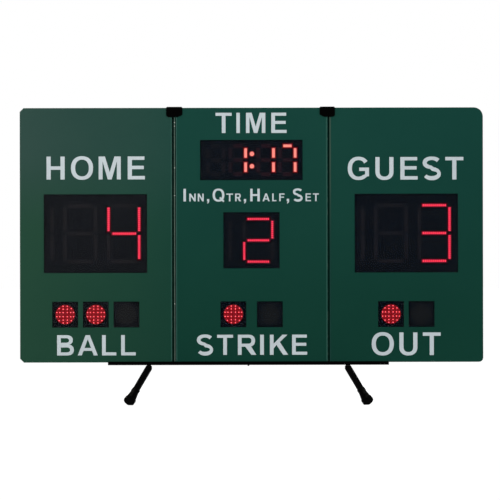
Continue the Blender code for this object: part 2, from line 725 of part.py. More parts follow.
def make_leg_bracket(name, side, mat):
    """A plate inside the rail with two oblique tongues, one for the front leg and one for the rear."""
    plate_top = RAIL_TOP - RAIL_WALL - GAP
    plate_low = plate_top - BRACKET_PLATE
    half_depth = RAIL_HALF_DEPTH - RAIL_WALL - GAP
    x = RAIL_OFFSET + side * LEG_SPREAD
    bm = bmesh.new()
    half_length = BRACKET_LENGTH / 2
    add_box(bm, (x - half_length, -half_depth, plate_low), (x + half_length, half_depth, plate_top))
    bracket = make_object(name, bm, mat)
    for end, label in ((-1, "front"), (1, "rear")):
        matrix, pin = leg_frame(side, end)
        pivot = matrix.translation
        rise = Vector((0, -end * math.sin(LEG_TILT), math.cos(LEG_TILT)))
        reach = (plate_top - BRACKET_PLATE / 2 - pivot.z) / rise.z
        outline = arc((0, 0), TONGUE_RADIUS, 140, 400, 12)
        outline += [(TONGUE_STEM, reach), (-TONGUE_STEM, reach)]
        bm = bmesh.new()
        add_prism(bm, outline, pivot - pin * TONGUE_THICKNESS / 2, (1, 0, 0), rise, pin * TONGUE_THICKNESS)
        boolean(bracket, make_object(name + "_" + label + "_tongue", bm), "UNION")
    bm = bmesh.new()
    add_box(bm, (x - FAR, -FAR, plate_top), (x + FAR, FAR, plate_top + FAR))
    boolean(bracket, make_object(name + "_trim", bm), "DIFFERENCE")
    for end, label in ((-1, "front"), (1, "rear")):
        matrix, pin = leg_frame(side, end)
        reach = pin * TONGUE_THICKNESS
        bm = bmesh.new()
        add_cylinder(bm, matrix.translation - reach, matrix.translation + reach, LEG_PIN_RADIUS + GAP,
                     BORE_SIDES)
        boolean(bracket, make_object(name + "_" + label + "_bore", bm), "DIFFERENCE")


def make_leg(name, side, end, tube_mat, pin_mat, tip_mat):
    matrix, _ = leg_frame(side, end)
    tube_end = -LEG_LENGTH + TIP_FLOOR + GAP
    dome = [(TUBE_RADIUS * math.cos(a), TUBE_RADIUS * math.sin(a))
            for a in (math.radians(90 - 18 * i) for i in range(6))]
    inner = TUBE_RADIUS - TUBE_WALL
    profile = dome + [(TUBE_RADIUS, tube_end), (inner, tube_end), (inner, -TUBE_BORE_START),
                      (0, -TUBE_BORE_START)]
    profile[0] = (0, TUBE_RADIUS)
    bm = bmesh.new()
    add_lathe(bm, profile, LEG_SIDES)
    leg = make_object(name + "_leg", bm, tube_mat, matrix)

    bm = bmesh.new()
    half = TONGUE_THICKNESS / 2 + GAP
    add_box(bm, (-half, -FAR, -SLOT_DEPTH), (half, FAR, FAR))
    boolean(leg, make_object(name + "_leg_slot", bm, None, matrix), "DIFFERENCE")
    bm = bmesh.new()
    add_cylinder(bm, (-FAR, 0, 0), (FAR, 0, 0), LEG_PIN_RADIUS + GAP, BORE_SIDES)
    boolean(leg, make_object(name + "_leg_bore", bm, None, matrix), "DIFFERENCE")

    half = math.sqrt(TUBE_RADIUS ** 2 - LEG_PIN_RADIUS ** 2) - GAP
    bm = bmesh.new()
    add_cylinder(bm, (-half, 0, 0), (half, 0, 0), LEG_PIN_RADIUS, BORE_SIDES)
    make_object(name + "_leg_pin", bm, pin_mat, matrix)

    make_tip(name + "_leg_tip", matrix, tip_mat)


def make_tip(name, matrix, mat):
    """A flared rubber cup on the tube's end, cut flat where it bears on the floor."""
    sole = -LEG_LENGTH
    rim = sole + TIP_LENGTH
    bore = TUBE_RADIUS + GAP
    neck = TIP_RIM_RADIUS - TIP_BEAD_PROUD
    shoulder = TIP_BASE_RADIUS - 2 * TIP_SOLE_CHAMFER
    bead_low = rim - TIP_BEAD
    flare_top = rim - 3 * TIP_BEAD
    flare_low = sole + 1.5 * TIP_BEAD
    profile = [(0, sole + TIP_FLOOR), (bore, sole + TIP_FLOOR), (bore, rim), (TIP_RIM_RADIUS, rim),
               (TIP_RIM_RADIUS, bead_low), (neck, bead_low - TIP_BEAD_PROUD), (neck, flare_top)]
    flare_steps = 3
    for i in range(1, flare_steps + 1):
        share = i / flare_steps
        profile.append((neck + (shoulder - neck) * share, flare_top + (flare_low - flare_top) * share))
    profile += [(TIP_BASE_RADIUS, flare_low - 2 * TIP_SOLE_CHAMFER),
                (TIP_BASE_RADIUS, sole + TIP_SOLE_CHAMFER), (SOLE_RADIUS, sole), (0, sole)]
    bm = bmesh.new()
    add_lathe(bm, profile, LEG_SIDES)
    tip = make_object(name, bm, mat, matrix)
    foot = matrix @ Vector((0, 0, sole))
    bm = bmesh.new()
    add_box(bm, (foot.x - FAR, foot.y - FAR, -FAR), (foot.x + FAR, foot.y + FAR, 0))
    boolean(tip, make_object(name + "_floor", bm), "DIFFERENCE")


def make_power_pieces(cover, mats):
    """The battery pocket, switch and inlet openings in the centre back cover, and what fills them."""
    length, depth, height = BATTERY_SIZE
    center_z = BOARD_BOTTOM + BATTERY_Z
    seat_y = BACK - BATTERY_COVER_THICKNESS - GAP
    pocket_w, pocket_h = length + 2 * GAP, height + 2 * GAP
    floor_y = seat_y - GAP - depth - GAP
    bm = bmesh.new()
    add_block(bm, CENTER_X, center_z, pocket_w + 2 * POCKET_WALL, pocket_h + 2 * POCKET_WALL,
              floor_y - POCKET_WALL, COVER_FRONT + COVER_THICKNESS / 2)
    boolean(cover, make_object("battery_pocket", bm), "UNION")

    # The pocket, the shallow seat of its cover, and the openings of the switch and the inlet
    bm = bmesh.new()
    add_block(bm, CENTER_X, center_z, pocket_w, pocket_h, floor_y, BACK + FAR)
    boolean(cover, make_object("battery_pocket_inside", bm), "DIFFERENCE")
    lid_w, lid_h = pocket_w + 2 * BATTERY_LEDGE, pocket_h + 2 * BATTERY_LEDGE
    controls_z = BOARD_BOTTOM + CONTROLS_Z
    bm = bmesh.new()
    add_block(bm, CENTER_X, center_z, lid_w, lid_h, seat_y, BACK + FAR)
    around = 2 * (SHROUD_WALL + GAP)
    for x, (width, tall) in ((SWITCH_X, SWITCH_OPENING), (INLET_X, INLET_OPENING)):
        add_block(bm, CENTER_X + x, controls_z, width + around, tall + around,
                  COVER_FRONT - COVER_THICKNESS, BACK + FAR)
    boolean(cover, make_object("battery_lid_seat", bm), "DIFFERENCE")

    # Posts for the controller board
    board_w, board_h = BOARD_SIZE
    board_z = BOARD_BOTTOM + BOARD_Z
    board_y = COVER_FRONT - BOARD_STANDOFF
    bm = bmesh.new()
    for side in (-1, 1):
        for lift in (-1, 1):
            x = CENTER_X + side * (board_w / 2 - 2 * POST_RADIUS)
            z = board_z + lift * (board_h / 2 - 2 * POST_RADIUS)
            post_top = COVER_FRONT + COVER_THICKNESS / 2
            add_cylinder(bm, (x, board_y + GAP, z), (x, post_top, z), POST_RADIUS, SMALL_SIDES)
    boolean(cover, make_object("controller_posts", bm), "UNION")

    bm = bmesh.new()
    add_block(bm, CENTER_X, board_z, board_w, board_h, board_y - PCB_THICKNESS, board_y)
    board = make_object("controller_board", bm, mats["board"])
    bm = bmesh.new()
    root_y = board_y - PCB_THICKNESS / 2
    for x in CHIPS_X:
        add_block(bm, CENTER_X + x, board_z, CHIP_SIZE, CHIP_SIZE, root_y - CHIP_HEIGHT, root_y)
    for lift in (-1, 1):
        socket_z = board_z + lift * board_h / 4
        add_block(bm, CENTER_X + SOCKET_X, socket_z, SOCKET_WIDTH, CHIP_SIZE, root_y - BOARD_STANDOFF, root_y)
    boolean(board, make_object("controller_parts", bm), "UNION")

    bm = bmesh.new()
    add_block(bm, CENTER_X, center_z, length, height, floor_y + GAP, floor_y + GAP + depth)
    make_object("battery_pack", bm, mats["battery"])
    bm = bmesh.new()
    add_block(bm, CENTER_X, center_z, lid_w - 2 * GAP, lid_h - 2 * GAP, seat_y + GAP, BACK)
    make_object("battery_cover", bm, mats["plastic"])

    make_shroud("power_switch_body", CENTER_X + SWITCH_X, SWITCH_OPENING, False, mats["plastic"])
    make_rocker(mats["rocker"])
    make_shroud("power_inlet", CENTER_X + INLET_X, INLET_OPENING, True, mats["plastic"])


def make_shroud(name, x, opening, with_floor, mat):
    """A flanged cup through the back cover. The inlet has a floor with two blades on it."""
    width, tall = opening
    z = BOARD_BOTTOM + CONTROLS_Z
    inner_y = BACK - SHROUD_DEPTH
    bm = bmesh.new()
    add_frame(bm, x, z, width, tall, SHROUD_WALL, inner_y, BACK + GAP + FLANGE_THICKNESS / 2)
    body = make_object(name, bm, mat)
    bm = bmesh.new()
    add_frame(bm, x, z, width, tall, SHROUD_WALL + FLANGE_WIDTH, BACK + GAP, BACK + GAP + FLANGE_THICKNESS)
    boolean(body, make_object(name + "_flange", bm), "UNION")
    if with_floor:
        floor_top = inner_y + SHROUD_WALL
        blade_height, blade_length = BLADE_SIZE
        bm = bmesh.new()
        add_block(bm, x, z, width + SHROUD_WALL, tall + SHROUD_WALL, inner_y, floor_top)
        boolean(body, make_object(name + "_floor", bm), "UNION")
        bm = bmesh.new()
        for side in (-1, 1):
            add_block(bm, x + side * BLADE_SHIFT, z, SHROUD_WALL, blade_height,
                      floor_top - SHROUD_WALL / 2, floor_top + blade_length)
        boolean(body, make_object(name + "_blades", bm), "UNION")
    else:
        bm = bmesh.new()
        y = BACK - ROCKER_AXLE_DEPTH
        add_cylinder(bm, (x - FAR, y, z), (x + FAR, y, z), ROCKER_AXLE_RADIUS + GAP, SMALL_SIDES)
        boolean(body, make_object(name + "_axle_holes", bm), "DIFFERENCE")


def make_rocker(mat):
    """The rocker, its two flats sloping up to the ends, at rest with its lower end pressed in."""
    width = SWITCH_OPENING[0]
    rise = ROCKER_AXLE_DEPTH
    corner = (ROCKER_HALF_LENGTH, rise + ROCKER_HALF_LENGTH * math.tan(ROCKER_TILT))
    skirt, skirt_drop = ROCKER_SKIRT
    outline = [(0, rise), corner, (skirt, -skirt_drop)]
    outline += arc((0, 0), ROCKER_BELLY_RADIUS, -30, -150, 6)
    outline += [(-skirt, -skirt_drop), (-corner[0], corner[1])]
    turn = Matrix.Rotation(-ROCKER_TILT, 4, "X")
    axle = (CENTER_X + SWITCH_X, BACK - ROCKER_AXLE_DEPTH, BOARD_BOTTOM + CONTROLS_Z)
    place = Matrix.Translation(axle) @ turn
    bm = bmesh.new()
    body = width / 2 - GAP
    add_prism(bm, outline, (-body, 0, 0), (0, 0, 1), (0, 1, 0), (2 * body, 0, 0))
    rocker = make_object("power_rocker", bm, mat, place)
    bm = bmesh.new()
    reach = width / 2 + SHROUD_WALL - GAP
    add_cylinder(bm, (-reach, 0, 0), (reach, 0, 0), ROCKER_AXLE_RADIUS, SMALL_SIDES)
    boolean(rocker, make_object("power_rocker_axle", bm, None, place), "UNION")


def make_materials():
    return {
        "green": make_material("green_paint", (0.010, 0.052, 0.038), 0.45),
        "cover": make_material("back_cover_paint", (0.012, 0.012, 0.013), 0.5),
        "window": make_material("tinted_window", (0.006, 0.007, 0.009), 0.12, alpha=0.4),
        "board": make_material("circuit_board", (0.012, 0.014, 0.016), 0.5),
        "steel": make_material("black_steel", (0.006, 0.006, 0.007), 0.4, metallic=0.4),
        "pin": make_material("pin_steel", (0.35, 0.35, 0.36), 0.3, metallic=1.0),
        "rubber": make_material("tip_rubber", (0.008, 0.008, 0.008), 0.75),
        "plastic": make_material("black_plastic", (0.010, 0.010, 0.011), 0.5),
        "rocker": make_material("rocker_plastic", (0.015, 0.015, 0.016), 0.35),
        "battery": make_material("battery_wrap", (0.03, 0.05, 0.12), 0.4),
    }


def main():
    clear_scene()
    mats = make_materials()
    left_x = BOARD_LEFT + LEFT_WIDTH / 2
    right_x = BOARD_RIGHT - RIGHT_WIDTH / 2
    lamp = (LAMP_WINDOW, LAMP_WINDOW)
    home = Display("home", "home_display_board", left_x + HOME_SHIFT, SCORE_CENTER_Z, SCORE_WINDOW)
    ball = Display("ball", "ball_lamp_board", left_x + BALL_SHIFT, LAMP_CENTER_Z, lamp, 3, BALL_PITCH)
    clock = Display("time", "time_display_board", CENTER_X, TIME_CENTER_Z, TIME_WINDOW)
    period = Display("period", "period_display_board", CENTER_X, PERIOD_CENTER_Z, PERIOD_WINDOW)
    strike = Display("strike", "strike_lamp_board", CENTER_X, LAMP_CENTER_Z, lamp, 2, STRIKE_PITCH)
    guest = Display("guest", "guest_display_board", right_x + GUEST_SHIFT, SCORE_CENTER_Z, SCORE_WINDOW)
    out = Display("out", "out_lamp_board", right_x + OUT_SHIFT, LAMP_CENTER_Z, lamp, 2, OUT_PITCH)
    panels = [Panel("left", BOARD_LEFT, LEFT_WIDTH, [home, ball]),
              Panel("center", LEFT_SEAM + SEAM_GAP / 2, CENTER_WIDTH, [clock, period, strike]),
              Panel("right", RIGHT_SEAM + SEAM_GAP / 2, RIGHT_WIDTH, [guest, out])]

    housings = {}
    for panel in panels:
        housings[panel.side] = make_housing(panel, mats["green"])
        cover = make_back_cover(panel, mats["cover"])
        if panel.side == "center":
            make_power_pieces(cover, mats)
        for display in panel.displays:
            make_pane(display, mats["window"])
    for display in (home, guest):
        make_display_board(display, score_bars(display), [], mats["board"])
    colon_x = clock.x + (TIME_DIGITS_X[1] + TIME_DIGITS_X[2]) / 2
    colon = [(colon_x, clock.z + lift * COLON_HALF_SPACING, COLON_RADIUS) for lift in (-1, 1)]
    make_display_board(clock, time_bars(clock), colon, mats["board"])
    make_display_board(period, period_bars(period), [], mats["board"])
    for display in (ball, strike, out):
        make_display_board(display, [], lamp_discs(display), mats["board"])

    for label, height in zip(("lower", "upper"), HINGE_HEIGHTS):
        low_z = BOARD_BOTTOM + height - HINGE_LENGTH / 2
        make_flat_hinge("left_" + label + "_hinge", LEFT_SEAM, low_z, mats["steel"])
        make_riser_hinge("right_" + label + "_hinge", RIGHT_SEAM, low_z, mats["steel"])
    make_clip("left_seam_clip", LEFT_SEAM, -1, LEFT_CLIP_WING_REACH, LEFT_CLIP_CENTER_REACH, mats["steel"])
    make_clip("right_seam_clip", RIGHT_SEAM, 1, RIGHT_CLIP_WING_REACH, RIGHT_CLIP_CENTER_REACH, mats["steel"])

    make_rail_bolt(make_rail(mats["steel"]), housings["center"], mats["steel"])
    for side, side_name in ((-1, "left"), (1, "right")):
        make_leg_bracket(side_name + "_leg_bracket", side, mats["steel"])
        for end, end_name in ((-1, "front"), (1, "rear")):
            make_leg(end_name + "_" + side_name, side, end, mats["steel"], mats["pin"], mats["rubber"])


main()
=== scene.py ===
"""Finish of a portable multisport scoreboard: paint, lettering, lit digits, trim and stage.

Run it as a script in Blender. The model's solids are loaded as a fixed frame, and everything that
is added here is placed from their sizes. Lengths are in metres, +Z up, the front faces -Y.
"""

import math

import bmesh
import bpy
from bpy.props import (FloatProperty, FloatVectorProperty, IntProperty, PointerProperty,
                       StringProperty)
from bpy.types import Operator, Panel, PropertyGroup
from mathutils import Matrix, Vector


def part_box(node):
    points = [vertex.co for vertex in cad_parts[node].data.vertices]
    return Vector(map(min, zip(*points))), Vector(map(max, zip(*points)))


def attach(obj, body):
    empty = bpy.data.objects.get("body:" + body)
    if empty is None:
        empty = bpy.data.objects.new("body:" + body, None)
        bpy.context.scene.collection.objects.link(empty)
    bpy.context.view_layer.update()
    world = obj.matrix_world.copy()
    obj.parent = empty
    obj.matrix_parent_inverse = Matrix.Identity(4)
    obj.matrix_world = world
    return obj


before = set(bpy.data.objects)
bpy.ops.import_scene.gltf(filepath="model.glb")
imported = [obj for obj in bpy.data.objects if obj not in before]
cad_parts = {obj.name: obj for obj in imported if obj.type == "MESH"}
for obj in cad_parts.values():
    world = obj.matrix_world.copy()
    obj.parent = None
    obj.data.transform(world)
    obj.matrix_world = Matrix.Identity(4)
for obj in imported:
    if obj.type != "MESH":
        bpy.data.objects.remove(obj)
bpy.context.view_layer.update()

bl_info = {
    "name": "Scoreboard finish",
    "version": (1, 0, 0),
    "blender": (4, 5, 0),
    "location": "3D View > Sidebar > Scoreboard",
    "description": "Paint, lettering, lit digits, lamps, trim and stage for a folding scoreboard",
    "category": "Object",
}

CENTER_LOW, CENTER_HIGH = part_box("center_housing")
FACE_Y = CENTER_LOW.y
BACK_Y = CENTER_HIGH.y
BOARD_BOTTOM = CENTER_LOW.z
BOARD_TOP = CENTER_HIGH.z

# The pane laps this far behind the edge of its window opening
PANE_LAP = 0.006
# Width of the gap between two panels
SEAM_GAP = 0.004

# Seven-segment digits: width, height, bar thickness, as on the circuit boards
SCORE_DIGIT = (0.093, 0.162, 0.0093)
CLOCK_DIGIT = (0.0524, 0.088, 0.0103)
PERIOD_DIGIT = (0.0857, 0.1255, 0.0085)
LEVEL_BAR_INSET = 1.3
SCORE_DIGITS_X = (-0.119, -0.0418, 0.0779)
CLOCK_DIGITS_X = (-0.0976, -0.0367, 0.0398, 0.0992)
PERIOD_DIGITS_X = (-0.0585, 0.0187)
COLON_HALF_SPACING = 0.017
COLON_RADIUS = 0.0072
LAMP_RADIUS = 0.0272

# Bars in the order level low, middle, top, then left low, left high, right low, right high
LIT_BARS = {
    "0": (0, 2, 3, 4, 5, 6), "1": (5, 6), "2": (0, 1, 2, 3, 6), "3": (0, 1, 2, 5, 6),
    "4": (1, 4, 5, 6), "5": (0, 1, 2, 4, 5), "6": (0, 1, 2, 3, 4, 5), "7": (2, 5, 6),
    "8": (0, 1, 2, 3, 4, 5, 6), "9": (0, 1, 2, 4, 5, 6), " ": (),
}

# One quarter of a lamp's LED pattern, as shares of its radius
LAMP_PATTERN = ((0.21, 0.84), (0.61, 0.61), (0.21, 0.55), (0.84, 0.21), (0.55, 0.21),
                (0.21, 0.21))

# Distances in front of a display board: rear of the glow plates, rear and front of the lit bars,
# and the middle of the LEDs
GLOW_REAR, LIT_REAR, LIT_FRONT, LED_MIDDLE = 0.00003, 0.00014, 0.00030, 0.00045
# Sides of a lamp's discs, how far a lit disc and its glow end inside the lamp's edge, and how far
# the glow reaches past it
LAMP_SIDES, DISC_INSET, GLOW_INSET, LAMP_GLOW = 40, 0.0008, 0.0006, 0.0018
# How far a lit disc's front and its LEDs' seats stand off the lamp board, and its thickness
DISC_FRONT, LAMP_LED_SEAT, DISC_THICK = 0.00016, 0.0002, 0.00012
# How far the home score's LEDs are moved along their bars, and the guest's digits sideways
HOME_LED_SLIP, GUEST_ASIDE = 0.00137, -0.0011

# Seam trim: how far the grooves, flat strips in painted shadow, stand off the face, how deep the
# strips' feet are in it, and the heights of the dabs as shares of the board's height
GROOVE_PROUD, STRIP_FOOT = 0.00005, 0.0001
DAB_HEIGHTS = (0.230, 0.655, 0.764, 0.928, 0.942)

# Printed words: body, height of the foot line above the board's bottom, cap height, then each
# letter's left edge from the board's middle and its width, in millimetres
WORDS = {
    "home": ("left_wing", 502.0, 62.9,
             (("H", -561.6, 49.8), ("O", -494.6, 60.6), ("M", -418.7, 60.7), ("E", -339.0, 47.0))),
    "guest": ("right_wing", 500.1, 61.9,
              (("G", 264.4, 59.1), ("U", 340.2, 49.5), ("E", 408.6, 47.3), ("S", 469.1, 51.4),
               ("T", 531.8, 49.5))),
    "time": ("center_unit", 628.6, 55.6,
             (("T", -97.8, 44.2), ("I", -40.7, 9.4), ("M", -14.4, 53.0), ("E", 54.9, 42.0))),
    "ball": ("left_wing", 19.6, 55.6,
             (("B", -533.5, 46.1), ("A", -476.9, 54.9), ("L", -410.3, 39.1), ("L", -358.0, 40.1))),
    "strike": ("center_unit", 20.4, 55.1,
               (("S", -150.8, 45.9), ("T", -94.7, 43.6), ("R", -37.8, 50.5), ("I", 23.2, 10.3),
                ("K", 50.0, 49.8), ("E", 110.8, 41.4))),
    "out": ("right_wing", 18.8, 62.1, (("O", 329.1, 60.6), ("U", 404.9, 49.5), ("T", 469.3, 49.0))),
    "period_capitals": ("center_unit", 441.2, 34.6,
                        (("I", -186.3, 6.8), ("Q", -106.3, 32.2), ("H", -3.1, 26.0),
                         ("S", 113.7, 27.3))),
    "period_small_capitals": ("center_unit", 441.4, 21.3,
                              (("N", -170.3, 17.6), ("N", -147.0, 16.2), ("T", -68.9, 18.6),
                               ("R", -44.5, 16.4), ("A", 30.5, 19.6), ("L", 57.1, 11.4),
                               ("F", 76.4, 14.8), ("E", 148.5, 14.8), ("T", 168.7, 16.1))),
    "period_commas": ("center_unit", 441.2, 34.6, ((",", -122.0, 6.4), (",", -21.0, 6.4),
                                                   (",", 96.6, 6.8))),
}

# Finish of each solid, by the end of its name. The rest are powder coated
FINISHES = (
    ("_housing", "green_paint"), ("battery_cover", "black_plastic"), ("_back_cover", "back_paint"),
    ("_window", "tinted_pane"), ("time_display_board", "clock_mask"), ("_lamp_board", "lamp_mask"),
    ("_board", "board_mask"), ("_leg_pin", "pin_steel"), ("_leg_tip", "tip_rubber"),
    ("_leg", "tube_coat"), ("_leaf", "hinge_steel"), ("_hinge_pin", "pin_steel"),
    ("battery_pack", "battery_wrap"), ("power_rocker", "rocker_plastic"),
    ("power_inlet", "black_plastic"), ("power_switch_body", "black_plastic"))
# Colour of settled dust
DUST = (0.22, 0.21, 0.19)

# Head radius of the small screws, and each leaf screw's share of the leaf's height and distance
# from its outer edge
LEAF_SCREW, BATTERY_SCREW, BRACKET_SCREW = 0.0027, 0.0017, 0.0034
LEAF_SCREWS = ((0.14, 0.0075), (0.5, 0.0125), (0.86, 0.0075))
# The left leaves close face to face, so their screws are sunk
LEAF_SEAT = {"left": 0.0011, "right": 0.0025}
# The battery cover's screws stand this far in from its sides, the leg brackets' this far from
# their middle, seated this far below the rail's top
BATTERY_INSET, BRACKET_SCREWS, BRACKET_SEAT = 0.0026, (-0.0165, 0.0165), 0.0073

# Lamps: place, target, size, power as a share of the key light's, colour
LAMPS = (
    ("key_light", (-1.5, -3.2, 1.9), (-0.2, 0, 0.5), 1.6, 1.0, (1.0, 0.96, 0.90)),
    ("fill_light", (2.6, -3.6, 1.4), (0.2, 0, 0.4), 2.4, 0.35, (0.90, 0.97, 1.0)),
    ("back_light", (0.4, 3.2, 2.4), (0, 0, 0.4), 2.4, 0.8, (1.0, 1.0, 1.0)))
CAMERA_X, CAMERA_Z, CAMERA_ROLL = -0.0041, 0.4235, math.radians(0.11)

# Finishes by name. The frame has materials of its own under some of these names
MATERIALS = {}

# Ways that repeated shapes face
OUT, BACK, DOWN = (0.0, -1.0, 0.0), (0, 1, 0), (0, 0, -1)


class PaintSettings(PropertyGroup):
    """Colours of the shells and the dark parts"""
    green_low: FloatVectorProperty(
        name="Green, low", description="Paint near the foot of the panels", subtype="COLOR",
        default=(0.0037, 0.0370, 0.0255), min=0, max=1)
    green_high: FloatVectorProperty(
        name="Green, high", description="Paint near the top of the panels", subtype="COLOR",
        default=(0.0056, 0.0450, 0.0348), min=0, max=1)
    # Painted sheen: the two colours below lighten and grey the left wing, most at its upper left
    green_left: FloatVectorProperty(
        name="Green, left", description="Paint toward the board's left edge", subtype="COLOR",
        default=(0.0140, 0.0525, 0.0320), min=0, max=1)
    green_sheen_upper_left: FloatVectorProperty(
        name="Green, sheen", description="Paint at the board's upper left, which is lighter",
        subtype="COLOR", default=(0.0245, 0.0585, 0.0490), min=0, max=1)
    scuff: FloatVectorProperty(
        name="Scuffed paint", description="Colour of rubbed paint along the edges",
        subtype="COLOR", default=(0.10, 0.15, 0.12), min=0, max=1)
    black: FloatVectorProperty(
        name="Black parts", description="Powder coat of the rail, legs and clips",
        subtype="COLOR", default=(0.0003, 0.0003, 0.0003), min=0, max=1)
    # Painted sheen: the left wing's panes are lighter than the tint of the others
    pane: FloatVectorProperty(
        name="Window tint", description="Colour of the left wing's panes", subtype="COLOR",
        default=(0.0110, 0.0131, 0.0187), min=0, max=1)
    pane_right: FloatVectorProperty(
        name="Window tint, right", description="Colour of the other panels' panes",
        subtype="COLOR", default=(0.002, 0.0062, 0.0148), min=0, max=1)


class LetteringSettings(PropertyGroup):
    """Printed words"""
    color: FloatVectorProperty(
        name="Print colour", description="Colour of the printed words", subtype="COLOR",
        default=(0.489, 0.549, 0.586), min=0, max=1)
    thickness: FloatProperty(
        name="Print thickness", description="How far the print stands off the paint",
        default=0.00025, min=0.0001, max=0.001, unit="LENGTH", precision=5)
    stem: FloatProperty(
        name="Upright stroke", description="Width of the upright strokes, in letter heights",
        default=0.184, min=0.05, max=0.3)
    bar: FloatProperty(
        name="Level stroke", description="Width of the level strokes, in letter heights",
        default=0.150, min=0.05, max=0.3)


class DisplaySettings(PropertyGroup):
    """Shown values and LED sizes"""
    home_score: StringProperty(name="Home score", description="Three places", default="  4")
    guest_score: StringProperty(name="Guest score", description="Three places", default="  3")
    clock: StringProperty(name="Time", description="Four places", default=" 117")
    period: StringProperty(name="Period", description="Two places", default=" 2")
    balls: IntProperty(name="Balls", description="Lit ball lamps", default=2, min=0, max=3)
    strikes: IntProperty(name="Strikes", description="Lit strike lamps", default=1, min=0, max=2)
    outs: IntProperty(name="Outs", description="Lit out lamps", default=1, min=0, max=2)
    led_pitch: FloatProperty(
        name="LED pitch", description="Distance from one LED to the next along a bar",
        default=0.00549, min=0.002, max=0.02, unit="LENGTH", precision=5)
    led_share: FloatProperty(
        name="LED share", description="Length of an LED along the bar, as a share of the pitch",
        default=0.30, min=0.1, max=0.95)
    lamp_led_radius: FloatProperty(
        name="Lamp LED radius", description="Radius of one LED in a lamp",
        default=0.0015, min=0.0005, max=0.004, unit="LENGTH", precision=5)
    bar_inset: FloatProperty(
        name="Bar inset", description="How far the lit face ends inside the bar's edge",
        default=0.0012, min=0.0, max=0.003, unit="LENGTH", precision=5)
    glow_reach: FloatProperty(
        name="Glow reach", description="How far the glow spreads round a lit bar",
        default=0.0026, min=0.0, max=0.01, unit="LENGTH", precision=5)


class TrimSettings(PropertyGroup):
    """Seam trim and screws"""
    left_bead: FloatProperty(
        name="Left seam bead", description="Width of the bead beside the left seam",
        default=0.0023, min=0.001, max=0.01, unit="LENGTH", precision=5)
    right_bead: FloatProperty(
        name="Right seam bead", description="Width of the bead beside the right seam",
        default=0.0042, min=0.001, max=0.01, unit="LENGTH", precision=5)
    # The groove is a flat strip in painted seam shadow
    groove: FloatProperty(
        name="Groove", description="Width of the dark groove beside the left bead",
        default=0.0026, min=0.001, max=0.01, unit="LENGTH", precision=5)
    # The ridges are painted pale, as highlights of lit edges
    ridge: FloatProperty(
        name="Ridges", description="Width of the fine pale ridges beside the seams",
        default=0.0026, min=0.001, max=0.01, unit="LENGTH", precision=5)
    dab: FloatProperty(
        name="Paint dab", description="Radius of the chipped dabs on the left bead",
        default=0.0016, min=0.0005, max=0.003, unit="LENGTH", precision=5)
    bead_proud: FloatProperty(
        name="Bead height", description="How far the beads stand off the face",
        default=0.0008, min=0.0002, max=0.002, unit="LENGTH", precision=5)
    screw_radius: FloatProperty(
        name="Screw head radius", description="Head radius of the back cover's screws",
        default=0.0036, min=0.001, max=0.006, unit="LENGTH", precision=5)


class StageSettings(PropertyGroup):
    """Camera, light and floor"""
    camera_distance: FloatProperty(
        name="Camera distance", description="Distance from the board to the camera",
        default=20.0, min=2, max=30, unit="LENGTH")
    frame_height: FloatProperty(
        name="Framed height", description="Height of the square view at the board's middle",
        default=1.3723, min=0.5, max=5, unit="LENGTH")
    ambient: FloatProperty(
        name="Ambient light", description="Strength of the soft light from all round",
        default=0.62, min=0, max=3)
    key: FloatProperty(
        name="Key light", description="Power of the broad lamp at the front left",
        default=60.0, min=0, max=1000, unit="POWER")


class ScoreboardSettings(PropertyGroup):
    """All settings of the scoreboard's finish"""
    paint: PointerProperty(type=PaintSettings)
    lettering: PointerProperty(type=LetteringSettings)
    display: PointerProperty(type=DisplaySettings)
    trim: PointerProperty(type=TrimSettings)
    stage: PointerProperty(type=StageSettings)


def fill(tree, sockets, values):
    """Link or set several input sockets, by name or number."""
    for title, value in values.items():
        if isinstance(value, bpy.types.NodeSocket):
            tree.links.new(value, sockets[title])
        else:
            sockets[title].default_value = value


def add_node(tree, kind, inputs=None, **settings):
    node = tree.nodes.new(kind)
    for key, value in settings.items():
        setattr(node, key, value)
    fill(tree, node.inputs, inputs or {})
    return node


def new_tree(name, kind, inputs, outputs):
    """A node group with named sockets, what it is given and what it puts out."""
    tree = bpy.data.node_groups.new(name, kind)
    for in_out, sockets in (("INPUT", inputs), ("OUTPUT", outputs)):
        for title, socket_kind, *default in sockets:
            socket = tree.interface.new_socket(title, in_out=in_out,
                                               socket_type="NodeSocket" + socket_kind)
            if default:
                socket.default_value = default[0]
    return tree, tree.nodes.new("NodeGroupInput").outputs, tree.nodes.new("NodeGroupOutput").inputs


def noise_node(tree, vector, scale, detail=3.0, roughness=0.5):
    return add_node(tree, "ShaderNodeTexNoise", {
        "Vector": vector, "Scale": scale, "Detail": detail, "Roughness": roughness}).outputs["Fac"]


def math_node(tree, operation, first, second):
    return add_node(tree, "ShaderNodeMath", {0: first, 1: second}, operation=operation).outputs[0]


def ramp(tree, value, low, high, to_low=0.0, to_high=1.0, kind="SMOOTHSTEP"):
    """Map a value from low..high to to_low..to_high, clamped."""
    return add_node(tree, "ShaderNodeMapRange", {
        "Value": value, "From Min": low, "From Max": high, "To Min": to_low, "To Max": to_high},
        interpolation_type=kind).outputs["Result"]


def mix_colors(tree, factor, first, second, blend="MIX"):
    node = add_node(tree, "ShaderNodeMix", {"Factor": factor}, data_type="RGBA", blend_type=blend)
    places = [i for i, socket in enumerate(node.inputs) if socket.type == "RGBA"]
    for place, value in zip(places, (first, second)):
        plain = not isinstance(value, bpy.types.NodeSocket)
        fill(tree, node.inputs, {place: (*value, 1.0) if plain else value})
    return next(s for s in node.outputs if s.type == "RGBA")


def axes(tree, vector):
    return add_node(tree, "ShaderNodeSeparateXYZ", {0: vector}).outputs


